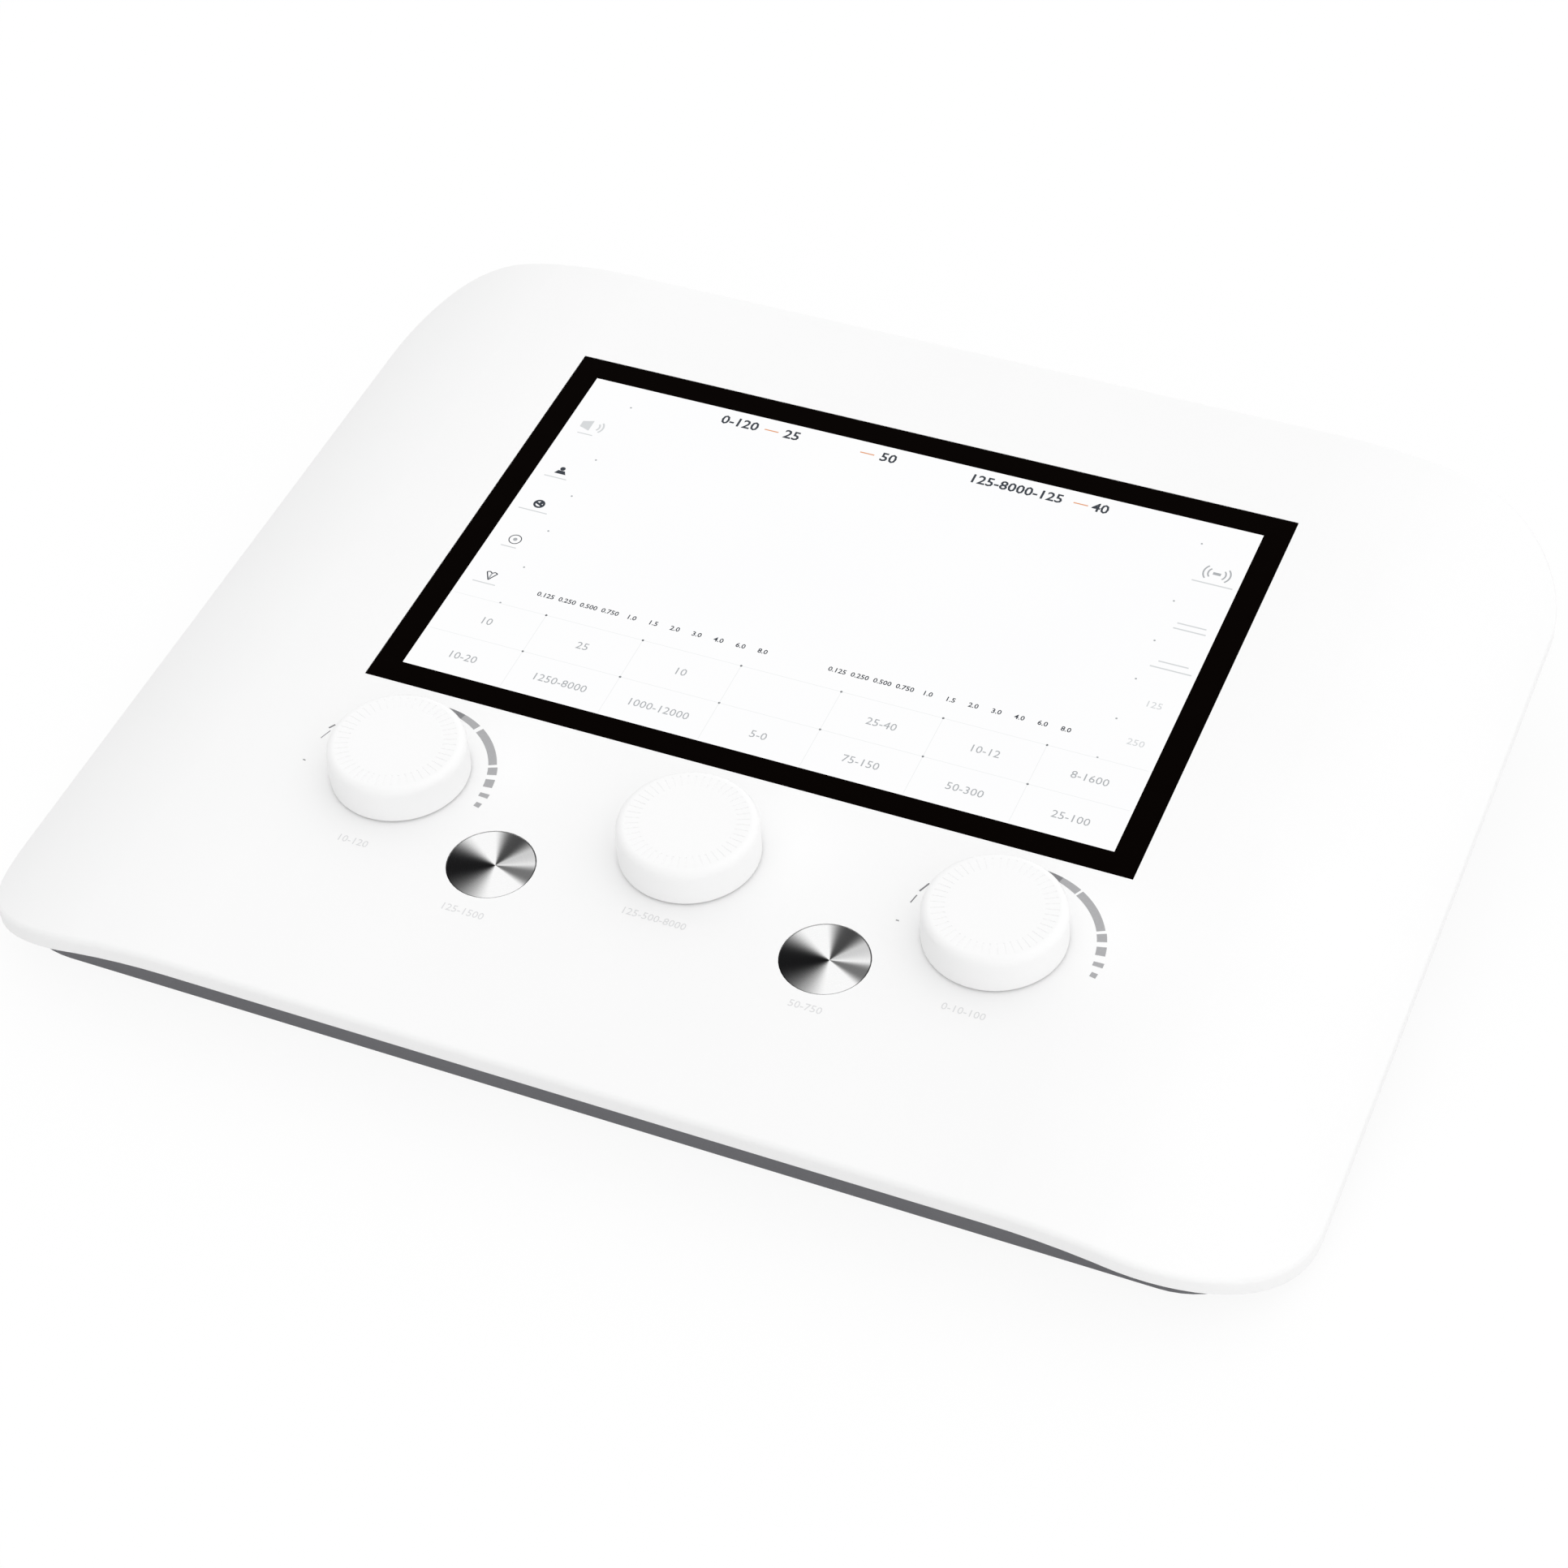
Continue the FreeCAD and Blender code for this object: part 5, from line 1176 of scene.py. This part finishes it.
# Matt paper: plain white where it is seen, a shade darker for the light that it bounces.
PAPER = StudioFloor("matt_white_paper", "#F2F2F2", "#FFFFFF", 0.92)


def seen_directly(tree: Tree) -> Socket:
    """Tell rays that show the background from rays that carry its light.

    Args:
        tree: node tree of a material or the world.

    Returns:
        1 for camera, glossy and transmission rays, and 0 for the rest.
    """
    path = add_node(tree, "LightPath")
    seen = path["Is Camera Ray"]
    for name in ("Is Glossy Ray", "Is Transmission Ray"):
        pair = {0: seen, 1: path[name]}
        seen = add_node(tree, "Math", {"operation": "MAXIMUM"}, pair)[0]
    return seen


@dataclass(frozen=True)
class SoftBox:
    """A square lamp.

    Args:
        name: what it does.
        at: its place, in metres.
        aim: the point that it shines at, in metres.
        size: side of the square, in metres.
        power: power in watts.
    """

    name: str
    at: Triple
    aim: Triple
    size: float
    power: float

    def hang(self) -> None:
        """Add the lamp to the scene."""
        lamp = bpy.data.lights.new(self.name, "AREA")
        lamp.size = self.size
        lamp.energy = self.power
        holder = bpy.data.objects.new(self.name, lamp)
        holder.location = self.at
        toward = Vector(self.aim) - Vector(self.at)
        holder.rotation_euler = toward.to_track_quat("-Z", "Y").to_euler()
        bpy.context.scene.collection.objects.link(holder)


@dataclass
class Studio:
    """Floor, world, lamp and camera.

    Args:
        half_floor: half the side of the floor, in metres.
        floor_gap: the floor's depth below the feet, in metres.
        sky: strength of the light from all round.
        shade_toward: direction of the studio's dark corner.
        shade_edges: how near that direction the shade begins and is full, as cosines.
        lamp: the soft box.
        camera_at: the camera's place, in metres.
        camera_turn: its turn about X, Y and Z, in degrees.
        lens: its focal length.
    """

    half_floor: float = 12.0
    floor_gap: float = 0.0002
    sky: float = 1.06
    shade_toward: Triple = (-0.88, -0.42, -0.22)
    shade_edges: Pair = (0.5, 0.95)
    lamp: SoftBox = SoftBox("key_softbox", (2.4, -0.2, 3.0), (0.0, 0.0, 0.03), 1.6, 1.5)
    camera_at: Triple = (0.31016, -0.74211, 0.68018)
    camera_turn: Triple = (50.235, 0.0, 22.796)
    lens: float = 82.13

    def build(self) -> None:
        """Set up the studio."""
        self.lay_floor()
        self.light_world()
        self.lamp.hang()
        self.stand_camera()
        bpy.context.scene.view_settings.view_transform = "Standard"

    def lay_floor(self) -> None:
        """Lay one large flat sheet just under the feet."""
        mesh = bmesh.new()
        corners = ((-1, -1), (1, -1), (1, 1), (-1, 1))
        half = self.half_floor
        mesh.faces.new([mesh.verts.new((x * half, y * half, -self.floor_gap)) for x, y in corners])
        data = bpy.data.meshes.new("studio_floor")
        mesh.to_mesh(data)
        mesh.free()
        data.materials.append(PAPER.material())
        floor = bpy.data.objects.new("studio_floor", data)
        bpy.context.scene.collection.objects.link(floor)

    def light_world(self) -> None:
        """Show pure white behind the object and light it from all round."""
        world = bpy.data.worlds.new("studio_world")
        world.use_nodes = True
        tree = world.node_tree
        tree.nodes.clear()
        toward = add_node(tree, "TexCoord")["Generated"]
        both = {0: toward, 1: self.shade_toward}
        near = add_node(tree, "VectorMath", {"operation": "DOT_PRODUCT"}, both)["Value"]
        start, full = self.shade_edges
        fade = {"Value": near, "From Min": start, "From Max": full}
        fade |= {"To Min": self.sky, "To Max": 0.0}
        light = add_node(tree, "MapRange", {"interpolation_type": "SMOOTHSTEP"}, fade)[0]
        shown = {"Value": seen_directly(tree), "To Min": light, "To Max": 1.0}
        strength = add_node(tree, "MapRange", inputs=shown)[0]
        white = {"Color": linear("#FFFFFF"), "Strength": strength}
        sky = add_node(tree, "Background", inputs=white)[0]
        add_node(tree, "OutputWorld", inputs={"Surface": sky})
        bpy.context.scene.world = world

    def stand_camera(self) -> None:
        """Stand the camera in front of the device's right corner."""
        camera = bpy.data.cameras.new("main_camera")
        camera.lens = self.lens
        holder = bpy.data.objects.new("main_camera", camera)
        holder.location = self.camera_at
        holder.rotation_euler = tuple(math.radians(angle) for angle in self.camera_turn)
        bpy.context.scene.collection.objects.link(holder)
        bpy.context.scene.camera = holder


def panel_faces(joints: Sequence[Mapping[str, object]]) -> tuple[Plane, Plane, float]:
    """Find the panel face from the centre dial's joint.

    Args:
        joints: the frame's joints.

    Returns:
        The panel with its origin on the centre dial's axis, the same face with its origin at the
        lit area's front left corner, and the panel's tilt in radians.
    """
    centre = next(joint for joint in joints if joint["name"] == "center_dial_turn")
    normal = Vector(centre["axis"]).normalized()
    across = Vector((1.0, 0.0, 0.0))
    panel = Plane(Vector(centre["pos_m"]), across, normal.cross(across))
    corner = panel.at(TouchScreen.dial_side, TouchScreen.dial_gap)
    screen = Plane(corner, panel.across, panel.up)
    return panel, screen, math.atan2(-normal.y, normal.z)


def main() -> None:
    """Load the frame, build every assembly and log the new pieces of each."""
    logging.basicConfig(level=logging.INFO, format="%(name)s: %(message)s")
    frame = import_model()
    nodes = frame["nodes"]
    panel, screen, tilt = panel_faces(frame["joints"])
    groups = (
        Housing(nodes), TouchScreen(nodes, screen), Dials(nodes, panel), Keys(nodes, panel, tilt),
        RearPanel(nodes), Electronics(nodes), Loudspeaker(nodes), Studio(),
    )
    for group in groups:
        before = set(bpy.data.objects.keys())
        group.build()
        added = sorted(set(bpy.data.objects.keys()) - before)
        log.info("%s built, new pieces: %s", type(group).__name__, ", ".join(added) or "none")


if __name__ == "__main__":
    main()
